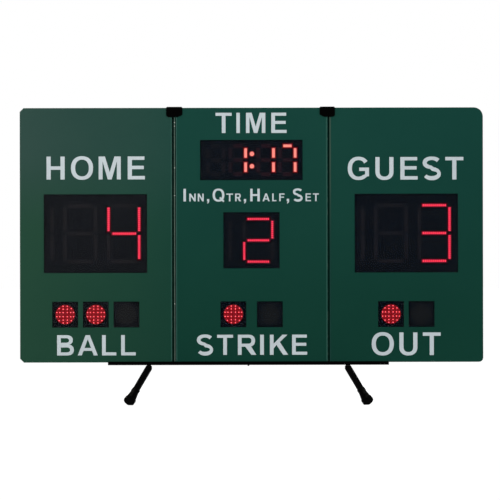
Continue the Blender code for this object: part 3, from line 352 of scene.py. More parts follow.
def shader_groups():
    """The effects that the finishes share: surface grain, settled dust and rub marks."""
    # Fine height for a Bump node, and a slow patchiness for colour and gloss
    tree, given, result = new_tree(
        "surface_grain", "ShaderNodeTree",
        (("Vector", "Vector"), ("Grain Scale", "Float"), ("Patch Scale", "Float")),
        (("Height", "Float"), ("Patches", "Float")))
    slow = noise_node(tree, given["Vector"], given["Patch Scale"], 4.0, 0.55)
    fill(tree, result, {
        "Height": noise_node(tree, given["Vector"], given["Grain Scale"], 2.0, 0.6),
        "Patches": ramp(tree, slow, 0.3, 0.7)})

    # Dust on upward faces, broken up by noise
    tree, given, result = new_tree(
        "settled_dust", "ShaderNodeTree", (("Vector", "Vector"), ("Amount", "Float")),
        (("Dust", "Float"),))
    normal = add_node(tree, "ShaderNodeNewGeometry").outputs["Normal"]
    patches = ramp(tree, noise_node(tree, given["Vector"], 60.0, 5.0, 0.65), 0.35, 0.75)
    broken = math_node(tree, "MULTIPLY", ramp(tree, axes(tree, normal)[2], 0.55, 1.0), patches)
    fill(tree, result, {"Dust": math_node(tree, "MULTIPLY", broken, given["Amount"])})

    # Sparse fine scratches, all leaning one way
    tree, given, result = new_tree(
        "rub_marks", "ShaderNodeTree",
        (("Vector", "Vector"), ("Amount", "Float"), ("Scale", "Float", 30.0)),
        (("Marks", "Float"),))
    stretch = add_node(tree, "ShaderNodeMapping", {
        "Vector": given["Vector"], "Rotation": (0.0, math.radians(24), 0.0),
        "Scale": (9.0, 1.0, 1.0)}).outputs["Vector"]
    thin = ramp(tree, noise_node(tree, stretch, given["Scale"], 2.0), 0.70, 0.76)
    where = ramp(tree, noise_node(tree, given["Vector"], 5.0, 3.0, 0.6), 0.52, 0.66)
    chosen = math_node(tree, "MULTIPLY", thin, where)
    fill(tree, result, {"Marks": math_node(tree, "MULTIPLY", chosen, given["Amount"])})


def place_group(tree, name, vector, **values):
    inputs = {title.replace("_", " "): value for title, value in values.items()}
    return add_node(tree, "ShaderNodeGroup", {"Vector": vector, **inputs},
                    label=name.replace("_", " "), node_tree=bpy.data.node_groups[name]).outputs


def start_material(name, specular, metallic=0.0, ior=1.5):
    """A new material: its tree, its shader's inputs and the place vector."""
    mat = MATERIALS[name] = bpy.data.materials.new(name)
    mat.use_nodes = True
    tree = mat.node_tree
    shader = tree.nodes["Principled BSDF"].inputs
    fill(tree, shader, {"Specular IOR Level": specular, "IOR": ior, "Metallic": metallic})
    return tree, shader, add_node(tree, "ShaderNodeTexCoord").outputs["Object"]


def solid_finish(name, first, second, roughness, specular, grain, depth, patch, dust=0.0, rub=0.0,
                 rub_color=(0.3, 0.3, 0.3), metallic=0.0, ior=1.5, tint=None):
    """A painted, moulded or metal finish: two drifting colours, grain, dust and rub marks.

    tint, if given, takes the tree, the place vector and the colour so far, and returns a colour.
    """
    tree, shader, where = start_material(name, specular, metallic, ior)
    texture = place_group(tree, "surface_grain", where, Grain_Scale=grain, Patch_Scale=patch)
    color = mix_colors(tree, texture["Patches"], first, second)
    if tint:
        color = tint(tree, where, color)
    if rub:
        marks = place_group(tree, "rub_marks", where, Amount=rub)["Marks"]
        color = mix_colors(tree, marks, color, rub_color)
    if dust:
        settled = place_group(tree, "settled_dust", where, Amount=dust)["Dust"]
        color = mix_colors(tree, settled, color, DUST)
    bump = add_node(tree, "ShaderNodeBump", {
        "Distance": depth, "Strength": 1.0, "Height": texture["Height"]}).outputs["Normal"]
    fill(tree, shader, {"Base Color": color, "Normal": bump,
                        "Roughness": ramp(tree, texture["Patches"], 0.0, 1.0, *roughness)})


def light_finish(name, core, edge, strength=1.0):
    """A lit LED surface: the core colour, dimmed unevenly towards the edge colour."""
    tree, shader, where = start_material(name, 0.1)
    speckle = ramp(tree, noise_node(tree, where, 700.0, 2.0), 0.35, 0.65, 0.0, 0.35)
    color = mix_colors(tree, speckle, core, edge)
    fill(tree, shader, {"Emission Color": color, "Base Color": color,
                        "Emission Strength": strength, "Roughness": 0.5})


def glow_finish(name, color):
    """Scattered light round a lit bar. The glow attribute falls from 1 at the bar to 0."""
    tree, shader, where = start_material(name, 0.0)
    fall = add_node(tree, "ShaderNodeAttribute", attribute_name="glow").outputs["Fac"]
    grain = ramp(tree, noise_node(tree, where, 1500.0, 1.0), 0.2, 0.8, 0.85, 1.0)
    share = math_node(tree, "MULTIPLY", math_node(tree, "POWER", fall, 1.6), grain)
    tinted = mix_colors(tree, share, tuple(c * 0.6 for c in color), color)
    fill(tree, shader, {"Emission Color": tinted, "Base Color": (0.0, 0.0, 0.0, 1.0),
                        "Emission Strength": 1.0, "Roughness": 0.9, "Alpha": share})


def pane_finish(settings):
    """A dark tinted pane: mostly seen through, with soft gloss; on the left wing a lighter tint in
    patches, a painted sheen.
    """
    tree, shader, where = start_material("tinted_pane", 0.12)
    # Painted sheen: lighter patches on the left wing's panes, giving way to the plain tint from x =
    # -0.22 to -0.10
    sheen_patches = ramp(tree, noise_node(tree, where, 14.0), 0.3, 0.7)
    left = mix_colors(tree, sheen_patches, settings.pane, tuple(c * 1.15 for c in settings.pane))
    side = ramp(tree, axes(tree, where)[0], -0.22, -0.10)
    smears = noise_node(tree, where, 35.0, 4.0, 0.6)
    fill(tree, shader, {"Base Color": mix_colors(tree, side, left, settings.pane_right),
                        "Roughness": ramp(tree, smears, 0.3, 0.7, 0.22, 0.34), "Alpha": 0.20})


def green_tint(settings):
    """Lighter towards the top, a painted sheen over the left wing that grows toward its upper left,
    and rubbed paint along the front rims.
    """
    def tint(tree, where, drift):
        x, y, z = axes(tree, where)
        height = ramp(tree, z, BOARD_BOTTOM + 0.05, BOARD_TOP - 0.06)
        main = mix_colors(tree, height, settings.green_low, settings.green_high)
        # Painted sheen over the left wing, lighter toward its upper part and its left edge
        sheen_height = ramp(tree, z, BOARD_BOTTOM + 0.34, BOARD_BOTTOM + 0.60)
        side = mix_colors(tree, sheen_height, settings.green_left, settings.green_sheen_upper_left)
        wing = math_node(tree, "LESS_THAN", x, CENTER_LOW.x + 0.004)
        share = math_node(tree, "MULTIPLY", wing, ramp(tree, x, -0.10, -0.61, 0.15, 1.0, "LINEAR"))
        color = mix_colors(tree, 1.0, mix_colors(tree, share, main, side), drift, "MULTIPLY")
        rim = ramp(tree, y, FACE_Y + 0.0023, FACE_Y + 0.0006)
        face = ramp(tree, y, FACE_Y + 0.0001, FACE_Y + 0.0005)
        chips = ramp(tree, noise_node(tree, where, 140.0, 4.0, 0.6), 0.50, 0.62, 0.0, 0.5)
        worn = math_node(tree, "MULTIPLY", math_node(tree, "MULTIPLY", rim, face), chips)
        return mix_colors(tree, worn, color, settings.scuff)
    return tint


def segment_tint(pale, paler, lit_spill=None):
    """The unlit bars and lamp discs stand nearer the pane than the board, and are paler.

    lit_spill, if given, is their colour right of the board's middle, where lit bars stand among
    them: painted red light spilling from them.
    """
    def tint(tree, where, color):
        x, y, _ = axes(tree, where)
        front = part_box("home_display_board")[0].y
        tops = ramp(tree, y, front + 0.0006, front + 0.0002)
        grille = ramp(tree, noise_node(tree, where, 220.0, 2.0), 0.3, 0.7)
        bars = mix_colors(tree, grille, pale, paler)
        # Painted light: the unlit bars turn red where the lit bars' light spills onto them
        if lit_spill:
            bars = mix_colors(tree, ramp(tree, x, -0.09, -0.02), bars, lit_spill)
        return mix_colors(tree, tops, color, bars)
    return tint


def fade_down(tree, where, color):
    """Darkens toward the board's foot."""
    fade = ramp(tree, axes(tree, where)[2], BOARD_BOTTOM + 0.30, BOARD_BOTTOM + 0.60)
    return mix_colors(tree, fade, (0.005, 0.038, 0.029), color)


def make_materials(settings):
    """Every finish of the scoreboard. Colours first, then roughness, gloss, grain, its depth and
    the patches' scale, then dust and rub marks."""
    shader_groups()
    black = tuple(settings.paint.black)
    dark = tuple(c * 1.8 for c in black)
    ink = tuple(settings.lettering.color)
    mask = (0.0012, 0.0017, 0.0025), (0.0017, 0.0022, 0.0030)
    clock = (0.0003, 0.0011, 0.0025), (0.0006, 0.0017, 0.0030)
    pane_finish(settings.paint)
    solid_finish("green_paint", (0.90, 0.95, 0.96), (1.08, 1.04, 1.03), (0.42, 0.5), 0.03, 1400.0,
                 0.00002, 2.6, 0.12, 0.10, (0.05, 0.09, 0.08), tint=green_tint(settings.paint))
    solid_finish("back_paint", (0.010, 0.010, 0.011), (0.016, 0.016, 0.017), (0.45, 0.6), 0.3,
                 1100.0, 0.00006, 6.0, 0.2, 0.35, (0.05, 0.05, 0.05))
    for name, board, segments in (
            ("board_mask", mask, ((0.0145, 0.0120, 0.0128), (0.0175, 0.0142, 0.0145))),
            # The clock's third colour is painted red light spilling from its lit bars
            ("clock_mask", clock, ((0.0110, 0.0100, 0.0110), (0.0135, 0.0120, 0.0128),
                                   (0.0340, 0.0090, 0.0125))),
            ("lamp_mask", mask, ((0.0095, 0.0090, 0.0074), (0.0120, 0.0112, 0.0092)))):
        solid_finish(name, *board, (0.6, 0.75), 0.03, 700.0, 0.00003, 12.0,
                     tint=segment_tint(*segments))
    solid_finish("powder_coat", black, dark, (0.5, 0.65), 0.12, 1600.0, 0.00006, 20.0, 0.04, 0.15,
                 (0.03, 0.03, 0.03), ior=1.12)
    solid_finish("tube_coat", black, dark, (0.42, 0.55), 0.16, 1800.0, 0.00004, 24.0, 0.03, 0.2,
                 (0.04, 0.04, 0.04), ior=1.14)
    solid_finish("pin_steel", (0.30, 0.30, 0.31), (0.42, 0.41, 0.40), (0.3, 0.45), 0.5, 2400.0,
                 0.00002, 90.0, metallic=1.0)
    solid_finish("hinge_steel", (0.03, 0.03, 0.032), (0.06, 0.06, 0.06), (0.35, 0.5), 0.4, 2000.0,
                 0.00002, 40.0, 0.1, 0.6, (0.35, 0.34, 0.32), metallic=0.6)
    solid_finish("tip_rubber", (0.0006, 0.0006, 0.0006), (0.0012, 0.0012, 0.0011), (0.75, 0.9),
                 0.15, 900.0, 0.00012, 60.0, 0.10, 0.25, (0.03, 0.028, 0.026), ior=1.14)
    solid_finish("black_plastic", (0.010, 0.010, 0.011), (0.015, 0.015, 0.016), (0.45, 0.6), 0.3,
                 3000.0, 0.0001, 30.0, 0.15, 0.3, (0.06, 0.06, 0.06))
    solid_finish("rocker_plastic", (0.012, 0.012, 0.013), (0.018, 0.018, 0.019), (0.25, 0.35), 0.45,
                 3000.0, 0.00002, 60.0, 0.05, 0.2, (0.06, 0.06, 0.06))
    solid_finish("battery_wrap", (0.02, 0.04, 0.12), (0.03, 0.06, 0.16), (0.25, 0.4), 0.5, 300.0,
                 0.0001, 40.0)
    solid_finish("print_grey", ink, tuple(c * 0.93 for c in ink), (0.5, 0.6), 0.2, 1500.0, 0.00002,
                 12.0, rub=0.15, rub_color=(0.30, 0.36, 0.36))
    # The left bead: rubbed paint, and lighter as a painted highlight of the edge lit from the left
    solid_finish("worn_bead", (0.065, 0.100, 0.085), (0.095, 0.125, 0.104), (0.45, 0.6), 0.05,
                 900.0, 0.00005, 25.0, rub=0.5, rub_color=(0.20, 0.22, 0.19))
    # The right bead: lighter as a painted highlight of the edge lit from the left
    solid_finish("soft_bead", (0.026, 0.060, 0.046), (0.036, 0.070, 0.054), (0.45, 0.6), 0.05,
                 900.0, 0.00005, 18.0, tint=fade_down)
    solid_finish("seam_shadow", (0.0015, 0.010, 0.008), (0.002, 0.014, 0.011), (0.6, 0.7), 0.02,
                 900.0, 0.00003, 25.0)
    # The ridges are painted pale, as highlights along lit edges
    solid_finish("seam_ridge", (0.018, 0.070, 0.056), (0.026, 0.082, 0.066), (0.45, 0.55), 0.05,
                 900.0, 0.00003, 18.0)
    solid_finish("paint_fleck", (0.36, 0.40, 0.36), (0.46, 0.48, 0.44), (0.5, 0.6), 0.1, 900.0,
                 0.00003, 60.0)
    solid_finish("screw_black", (0.03, 0.03, 0.032), (0.05, 0.05, 0.05), (0.35, 0.5), 0.4, 2500.0,
                 0.00002, 300.0, 0.1, 0.5, (0.4, 0.4, 0.38), metallic=0.7)
    solid_finish("contact_metal", (0.55, 0.45, 0.22), (0.65, 0.56, 0.32), (0.25, 0.4), 0.5, 2500.0,
                 0.00002, 300.0, metallic=1.0)
    solid_finish("white_print", (0.7, 0.7, 0.7), (0.6, 0.6, 0.6), (0.5, 0.6), 0.2, 2500.0, 0.00001,
                 200.0)
    light_finish("led_red", (1.0, 0.046, 0.105), (1.0, 0.036, 0.090), 3.45)
    light_finish("led_base", (0.12, 0.0005, 0.003), (0.10, 0.0003, 0.002))
    light_finish("led_salmon", (1.0, 0.272, 0.222), (1.0, 0.245, 0.198), 1.02)
    light_finish("lamp_led", (1.0, 0.105, 0.125), (1.0, 0.085, 0.105), 3.45)
    light_finish("lamp_base", (0.21, 0.0, 0.0030), (0.17, 0.0, 0.002))
    glow_finish("glow_red", (0.09, 0.0003, 0.0026))
    glow_finish("glow_clock", (0.27, 0.0, 0.001))
    glow_finish("glow_lamp", (0.074, 0.002, 0.003))


def new_object(name, data):
    obj = bpy.data.objects.new(name, data)
    bpy.context.scene.collection.objects.link(obj)
    return obj


def mesh_of(name, bm):
    """The mesh of a closed bmesh, its faces turned outwards."""
    bmesh.ops.recalc_face_normals(bm, faces=bm.faces)
    mesh = bpy.data.meshes.new(name)
    bm.to_mesh(mesh)
    bm.free()
    return mesh


def add_mesh_piece(name, mesh, body, finish):
    """Make a mesh that is already in place a piece that rides on a body."""
    obj = new_object(name, mesh)
    if not mesh.materials:
        mesh.materials.append(MATERIALS[finish])
    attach(obj, body)
    return obj


def add_piece(name, bm, body, finish):
    return add_mesh_piece(name, mesh_of(name, bm), body, finish)


def add_box(bm, low, high, bevel):
    low, high = Vector(low), Vector(high)
    place = Matrix.Translation((low + high) / 2) @ Matrix.Diagonal((*(high - low), 1))
    made = bmesh.ops.create_cube(bm, size=1, matrix=place)
    edges = list({edge for vert in made["verts"] for edge in vert.link_edges})
    bmesh.ops.bevel(bm, geom=edges, offset=bevel, segments=1, affect="EDGES")


def add_prism(bm, outline, origin, across, up, depth):
    """Extrude a closed outline of (across, up) points along the depth vector."""
    near = [bm.verts.new(Vector(origin) + Vector(across) * a + Vector(up) * b) for a, b in outline]
    made = bmesh.ops.extrude_face_region(bm, geom=[bm.faces.new(near)])
    moved = [item for item in made["geom"] if isinstance(item, bmesh.types.BMVert)]
    bmesh.ops.translate(bm, verts=moved, vec=depth)


def join_rings(bm, first, second):
    """Faces between two rings of as many points."""
    for i in range(len(first)):
        j = (i + 1) % len(first)
        bm.faces.new((first[i], first[j], second[j], second[i]))


def circle(radius, sides, x=0.0, z=0.0):
    return [(x + radius * math.cos(2 * math.pi * i / sides),
             z + radius * math.sin(2 * math.pi * i / sides)) for i in range(sides)]


def geometry_tree(name, *inputs):
    return new_tree(name, "GeometryNodeTree", (("Geometry", "Geometry"), *inputs),
                    (("Geometry", "Geometry"),))


def end_tree(tree, given, result, instances):
    """Put the instances on their points, make them real and give them their material."""
    placed = add_node(tree, "GeometryNodeInstanceOnPoints", instances)
    real = add_node(tree, "GeometryNodeRealizeInstances",
                    {"Geometry": placed.outputs["Instances"]})
    painted = add_node(tree, "GeometryNodeSetMaterial",
                       {"Geometry": real.outputs["Geometry"], "Material": given["Material"]})
    fill(tree, result, {"Geometry": painted.outputs["Geometry"]})
    return tree


def repeat_tree():
    """A shape on every point, its Z axis along the point's aim, turned at random about it."""
    tree, given, result = geometry_tree(
        "repeat_on_points", ("Shape", "Object"), ("Size", "Float"), ("Largest Turn", "Float"),
        ("Seed", "Int"), ("Material", "Material"))
    shape = add_node(tree, "GeometryNodeObjectInfo", {"Object": given["Shape"]})
    aim = add_node(tree, "GeometryNodeInputNamedAttribute", {"Name": "aim"},
                   data_type="FLOAT_VECTOR")
    align = add_node(tree, "FunctionNodeAlignRotationToVector",
                     {"Vector": aim.outputs["Attribute"]}, axis="Z")
    turn = add_node(tree, "FunctionNodeRandomValue", {"Seed": given["Seed"]}, data_type="FLOAT")
    least, most = [i for i, s in enumerate(turn.inputs) if s.type == "VALUE" and s.enabled][:2]
    fill(tree, turn.inputs, {least: 0.0, most: given["Largest Turn"]})
    angle = next(s for s in turn.outputs if s.type == "VALUE" and s.enabled)
    spin = add_node(tree, "FunctionNodeAxisAngleToRotation",
                    {"Axis": (0.0, 0.0, 1.0), "Angle": angle})
    rotate = add_node(tree, "FunctionNodeRotateRotation",
                      {"Rotation": align.outputs["Rotation"],
                       "Rotate By": spin.outputs["Rotation"]}, rotation_space="LOCAL")
    return end_tree(tree, given, result, {
        "Points": given["Geometry"], "Instance": shape.outputs["Geometry"],
        "Rotation": rotate.outputs["Rotation"], "Scale": given["Size"]})


def tick_tree():
    """LED blocks spaced evenly along each line of the mesh, long side across the line."""
    tree, given, result = geometry_tree(
        "leds_along_bars", ("Pitch", "Float"), ("Block Size", "Vector"), ("Material", "Material"))
    curve = add_node(tree, "GeometryNodeMeshToCurve", {"Mesh": given["Geometry"]})
    spaced = add_node(tree, "GeometryNodeResampleCurve", {
        "Curve": curve.outputs["Curve"], "Length": given["Pitch"]}, mode="LENGTH")
    block = add_node(tree, "GeometryNodeMeshCube", {"Size": given["Block Size"]})
    along = add_node(tree, "GeometryNodeInputTangent").outputs["Tangent"]
    align = add_node(tree, "FunctionNodeAlignRotationToVector", {"Vector": along}, axis="Z",
                     pivot_axis="Y")
    return end_tree(tree, given, result, {
        "Points": spaced.outputs["Curve"], "Instance": block.outputs["Mesh"],
        "Rotation": align.outputs["Rotation"]})


def run_tree(name, base, tree, body, slot, finish, **values):
    """Run a tree on a base mesh and keep the result as a plain piece."""
    values["material"] = MATERIALS[finish]
    holder = new_object(name + "_base", base)
    modifier = holder.modifiers.new(name, "NODES")
    modifier.node_group = tree
    for item in tree.interface.items_tree:
        key = item.name.lower().replace(" ", "_")
        if item.in_out == "INPUT" and key in values:
            modifier[item.identifier] = values[key]
    holder.update_tag()
    depsgraph = bpy.context.evaluated_depsgraph_get()
    depsgraph.update()
    mesh = bpy.data.meshes.new_from_object(holder.evaluated_get(depsgraph), depsgraph=depsgraph)
    holder.modifiers.clear()
    bpy.data.objects.remove(holder, do_unlink=True)
    mesh.name = name
    if not mesh.vertices:
        raise RuntimeError(name + " came out empty")
    return add_mesh_piece(name, mesh, body, finish)


def repeat_shape(name, shape, points, aim, body, slot, finish, size, largest_turn, seed):
    """Repeat a shape on points that all aim the same way."""
    mesh = bpy.data.meshes.new("points")
    mesh.from_pydata([tuple(point) for point in points], [], [])
    for item in mesh.attributes.new("aim", "FLOAT_VECTOR", "POINT").data:
        item.vector = aim
    tree = bpy.data.node_groups.get("repeat_on_points") or repeat_tree()
    run_tree(name, mesh, tree, body, slot, finish, shape=shape, size=size,
             largest_turn=largest_turn, seed=seed)


def window_of(label):
    """Middle x, middle z, and size of a window opening, from its pane."""
    low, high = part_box(label + "_window")
    return ((low.x + high.x) / 2, (low.z + high.z) / 2, high.x - low.x - 2 * PANE_LAP,
            high.z - low.z - 2 * PANE_LAP)


def digit_bars(x, z, digit):
    """The seven bars of a digit as (x0, x1, z0, z1): three level, then four upright."""
    width, height, bar = digit
    upright = (height - 3 * bar) / 2
    inset = bar * LEVEL_BAR_INSET
    bars = []
    for row in (-1, 0, 1):
        middle = z + row * (height - bar) / 2
        bars.append((x - width / 2 + inset, x + width / 2 - inset, middle - bar / 2,
                     middle + bar / 2))
    for side in (-1, 1):
        edge = x + side * (width - bar) / 2
        for half in (-1, 1):
            middle = z + half * (upright + bar) / 2
            bars.append((edge - bar / 2, edge + bar / 2, middle - upright / 2,
                         middle + upright / 2))
    return bars


def shown_bars(x, z, places, digit, text):
    """The lit bars of a row of digits."""
    lit = []
    for place, character in zip(places, text):
        bars = digit_bars(x + place, z, digit)
        lit += [bars[i] for i in LIT_BARS[character]]
    return lit


def grown_box(x0, x1, z0, z1, grow):
    """A rectangle's outline, larger all round, with round corners."""
    return [(cx + grow * math.cos(math.radians(start + 22.5 * i)),
             cz + grow * math.sin(math.radians(start + 22.5 * i)))
            for cx, cz, start in ((x1, z1, 0), (x0, z1, 90), (x0, z0, 180), (x1, z0, 270))
            for i in range(5)]


def glow_piece(name, outlines, y, body, finish):
    """Thin closed plates: full glow inside an outline, none at its grown outline."""
    thick = 0.00008
    bm = bmesh.new()
    layer = bm.verts.layers.float.new("glow")
    for outline, grown in outlines:
        front, edge, back = [[bm.verts.new((x, y - proud, z)) for x, z in points] for points, proud
                             in ((outline, thick), (grown, thick / 2), (outline, 0.0))]
        for vert in front + back:
            vert[layer] = 1.0
        bm.faces.new(front)
        bm.faces.new(back[::-1])
        join_rings(bm, front, edge)
        join_rings(bm, edge, back)
    add_piece(name, bm, body, finish)


def light_bars(label, body, bars, thick, settings, slip=None):
    """Light a display's bars: a glow round each, a glowing base, and the LEDs along it.

    slip moves the LEDs along their bars. Without it the bars shine evenly, as the clock's do.
    """
    if not bars:
        return
    even = slip is None
    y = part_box(label + "_display_board")[0].y
    small = settings.bar_inset * (1.25 if even else 1.0)
    outlines = [(grown_box(*bar, 0.0004), grown_box(*bar, settings.glow_reach)) for bar in bars]
    glow_piece(label + "_glow", outlines, y - GLOW_REAR, body,
               "glow_clock" if even else "glow_red")
    bm = bmesh.new()
    for x0, x1, z0, z1 in bars:
        add_box(bm, (x0 + small, y - LIT_FRONT, z0 + small), (x1 - small, y - LIT_REAR, z1 - small),
                0.00006)
    add_piece(label + "_lit_bars", bm, body, "led_salmon" if even else "led_base")
    if even:
        return
    pitch = settings.led_pitch
    ends = []
    for x0, x1, z0, z1 in bars:
        x, z = (x0 + x1) / 2, (z0 + z1) / 2
        level = x1 - x0 > z1 - z0
        half = pitch * (max(x1 - x0, z1 - z0) // pitch - 0.99) / 2
        ends += [(x + end, y - LED_MIDDLE, z) if level else (x, y - LED_MIDDLE, z + end)
                 for end in (slip - half, slip + half)]
    lines = bpy.data.meshes.new("lines")
    lines.from_pydata(ends, [(i, i + 1) for i in range(0, len(ends), 2)], [])
    run_tree(label + "_leds", lines, tick_tree(), body, None, "led_red", pitch=pitch,
             block_size=(thick - 2.4 * small, 0.0003, pitch * settings.led_share))


def light_lamps(label, body, middles, z, led_radius):
    """Light the lamps of a row: a glowing disc, a glow round it and a pattern of LEDs."""
    if not middles:
        return
    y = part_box(label + "_lamp_board")[0].y
    bm = bmesh.new()
    for x in middles:
        add_prism(bm, circle(LAMP_RADIUS - DISC_INSET, LAMP_SIDES, x, z), (0, y - DISC_FRONT, 0),
                  (1, 0, 0), (0, 0, 1), (0, DISC_THICK, 0))
    add_piece(label + "_lit_discs", bm, body, "lamp_base")
    rings = [(circle(LAMP_RADIUS - GLOW_INSET, LAMP_SIDES, x, z),
              circle(LAMP_RADIUS + LAMP_GLOW, LAMP_SIDES, x, z)) for x in middles]
    glow_piece(label + "_glow", rings, y - GLOW_REAR, body, "glow_lamp")
    points = [(x + sx * a * LAMP_RADIUS, y - LAMP_LED_SEAT, z + sz * b * LAMP_RADIUS)
              for x in middles for a, b in LAMP_PATTERN for sx in (-1, 1) for sz in (-1, 1)]
    dome = bmesh.new()
    bmesh.ops.create_uvsphere(dome, u_segments=8, v_segments=5, radius=1.0)
    for vert in dome.verts:
        vert.co.z *= 0.16
    shape = new_object(label + "_led_shape", mesh_of("led_shape", dome))
    repeat_shape(label + "_leds", shape, points, OUT, body, None, "lamp_led", led_radius, 0.0, 1)
    bpy.data.objects.remove(shape, do_unlink=True)


class SCOREBOARD_OT_paint_frame(Operator):
    """Give every solid of the frame its finish"""
    bl_idname = "scoreboard.paint_frame"
    bl_label = "Paint the frame"

    def execute(self, context):
        make_materials(context.scene.scoreboard)
        for name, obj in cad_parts.items():
            finish = next((f for ending, f in FINISHES if name.endswith(ending)), "powder_coat")
            if not obj.data.materials:
                obj.data.materials.append(MATERIALS[finish])
            for slot in obj.material_slots:
                slot.material = MATERIALS[finish]
        return {"FINISHED"}


def half_round(x, y, radius_x, radius_y, start, end, steps=10, power=2.25):
    """Points on a slightly squared ellipse, angles in degrees."""
    points = []
    for i in range(steps + 1):
        angle = math.radians(start + (end - start) * i / steps)
        c, s = math.cos(angle), math.sin(angle)
        points.append((x + radius_x * math.copysign(abs(c) ** (2 / power), c),
                       y + radius_y * math.copysign(abs(s) ** (2 / power), s)))
    return points


def stroke(path, widths):
    """An outline round a path of points, as wide at each point as given."""
    left, right = [], []
    for i, point in enumerate(path):
        ahead = Vector(path[min(i + 1, len(path) - 1)]) - Vector(path[max(i - 1, 0)])
        side = Vector((-ahead.y, ahead.x)).normalized() * widths[i] / 2
        left.append(tuple(Vector(point) + side))
        right.append(tuple(Vector(point) - side))
    return left + right[::-1]


def letter_s(w, h, stem, bar):
    """The double curve, drawn as a stroke along two linked arcs."""
    upper = half_round(w / 2, h * 0.735, w / 2 - stem * 0.54, h * 0.265 - bar / 2, 28, 262, 16,
                       2.1)
    lower = half_round(w / 2, h * 0.268, w / 2 - stem * 0.52, h * 0.268 - bar / 2, 82, -154, 16,
                       2.1)
    path = upper + lower
    sideways = [abs(math.cos(math.radians(28 + 234 * i / 16))) for i in range(17)]
    widths = [bar + (stem - bar) * share for share in sideways + sideways]
    return [stroke(path, widths)]


def letter_g(w, h, stem, bar):
    outer = half_round(w / 2, h / 2, w / 2, h / 2, 36, 318, 36)
    inner = half_round(w / 2, h / 2, w / 2 - stem, h / 2 - bar, 322, 34, 32)
    jaw = w * 0.985
    return [outer + [(jaw, h * 0.165), (jaw, h * 0.535), (w * 0.53, h * 0.535),
                     (w * 0.53, h * 0.535 - bar), (jaw - stem * 0.95, h * 0.535 - bar),
                     (jaw - stem * 0.95, h * 0.245)] + inner[2:]]


def letter_loops(character, w, h, stem, bar):
    """Closed outlines of a plain bold capital, w wide and h high."""
    mid, low, high = w / 2, (h - bar) / 2, (h + bar) / 2
    if character == "I":
        return [[(0, 0), (w, 0), (w, h), (0, h)]]
    if character == "L":
        return [[(0, 0), (w, 0), (w, bar), (stem, bar), (stem, h), (0, h)]]
    if character == "T":
        return [[(mid - stem / 2, 0), (mid + stem / 2, 0), (mid + stem / 2, h - bar), (w, h - bar),
                 (w, h), (0, h), (0, h - bar), (mid - stem / 2, h - bar)]]
    if character == "H":
        return [[(0, 0), (stem, 0), (stem, low), (w - stem, low), (w - stem, 0), (w, 0), (w, h),
                 (w - stem, h), (w - stem, high), (stem, high), (stem, h), (0, h)]]
    if character in "EF":
        arm = w * (0.94 if character == "E" else 0.88)
        low, high = low + h * 0.02, high + h * 0.02
        foot = [(0, 0), (w, 0), (w, bar), (stem, bar)] if character == "E" else [(0, 0), (stem, 0)]
        return [foot + [(stem, low), (arm, low), (arm, high), (stem, high), (stem, h - bar),
                        (w * 0.975, h - bar), (w * 0.975, h), (0, h)]]
    if character == "N":
        return [[(0, 0), (stem, 0), (stem, h * 0.66), (w - stem * 1.06, 0), (w, 0), (w, h),
                 (w - stem, h), (w - stem, h * 0.34), (stem * 1.06, h), (0, h)]]
    if character == "M":
        side = stem * 0.93
        return [[(0, 0), (side, 0), (side, h * 0.79), (mid - stem * 0.47, 0),
                 (mid + stem * 0.47, 0), (w - side, h * 0.79), (w - side, 0), (w, 0), (w, h),
                 (w - stem * 1.5, h), (mid, h * 0.32), (stem * 1.5, h), (0, h)]]
    if character == "K":
        return [[(0, 0), (stem, 0), (stem, h * 0.306), (w * 0.36, h * 0.49), (w * 0.725, 0), (w, 0),
                 (w * 0.545, h * 0.635), (w * 0.965, h), (w * 0.685, h), (stem, h * 0.545),
                 (stem, h), (0, h)]]
    if character == "A":
        foot, crown, peak = stem * 1.08, stem * 0.56, h * 0.80
        under, over = h * 0.225, h * 0.225 + bar * 0.95

        def inner(y):
            return foot + (mid - foot) * y / peak
        return [[(0, 0), (foot, 0), (inner(under), under), (w - inner(under), under), (w - foot, 0),
                 (w, 0), (mid + crown, h), (mid - crown, h)],
                [(inner(over), over), (w - inner(over), over), (mid, peak)]]
    if character in "OQ":
        return [half_round(mid, h / 2, mid, h / 2, 0, 350, 35),
                half_round(mid, h / 2, mid - stem, h / 2 - bar, 0, 350, 35)]
    if character == "U":
        belly = h * 0.36
        outer = half_round(mid, belly, mid, belly, 180, 360, 16)
        inner = half_round(mid, belly, mid - stem, belly - bar, 360, 180, 16)
        return [[(0, h)] + outer + [(w, h), (w - stem, h)] + inner + [(stem, h)]]
    if character == "G":
        return letter_g(w, h, stem, bar)
    if character == "S":
        return letter_s(w, h, stem, bar)
    if character == "R":
        under = h * 0.405
        rise = (h - under) / 2
        return [[(0, 0), (stem, 0), (stem, under), (w * 0.40, under), (w - stem * 1.35, 0), (w, 0),
                 (w * 0.715, under * 1.02)]
                + half_round(w * 0.60, h - rise, w * 0.335, rise, -72, 90, 12) + [(0, h)],
                [(stem, under + bar)] + half_round(w * 0.57, h - rise, w * 0.365 - stem, rise - bar,
                                                   -90, 90, 10) + [(stem, h - bar)]]
    if character == "B":
        lower, upper = h * 0.272, h * 0.243
        return [[(0, 0)] + half_round(w * 0.60, lower, w * 0.40, lower, -90, 74, 12)
                + half_round(w * 0.57, h - upper, w * 0.365, upper, -66, 90, 12) + [(0, h)],
                [(stem, bar)]
                + half_round(w * 0.57, lower, w * 0.43 - stem, lower - bar, -90, 90, 10)
                + [(stem, 2 * lower - bar)],
                [(stem, h - 2 * upper + bar * 0.75)]
                + half_round(w * 0.55, h - upper - bar * 0.12, w * 0.385 - stem,
                             upper - bar * 0.88, -90, 90, 10) + [(stem, h - bar)]]
    # The comma: a square dot with a short tail to the lower left
    return [[(w * 0.05, 0), (w * 0.45, 0), (w * 0.30, -w * 0.45), (w * 0.05, -w * 0.75),
             (w * 0.25, -w * 0.95), (w * 0.70, -w * 0.62), (w, -w * 0.05), (w, w), (w * 0.05, w)]]


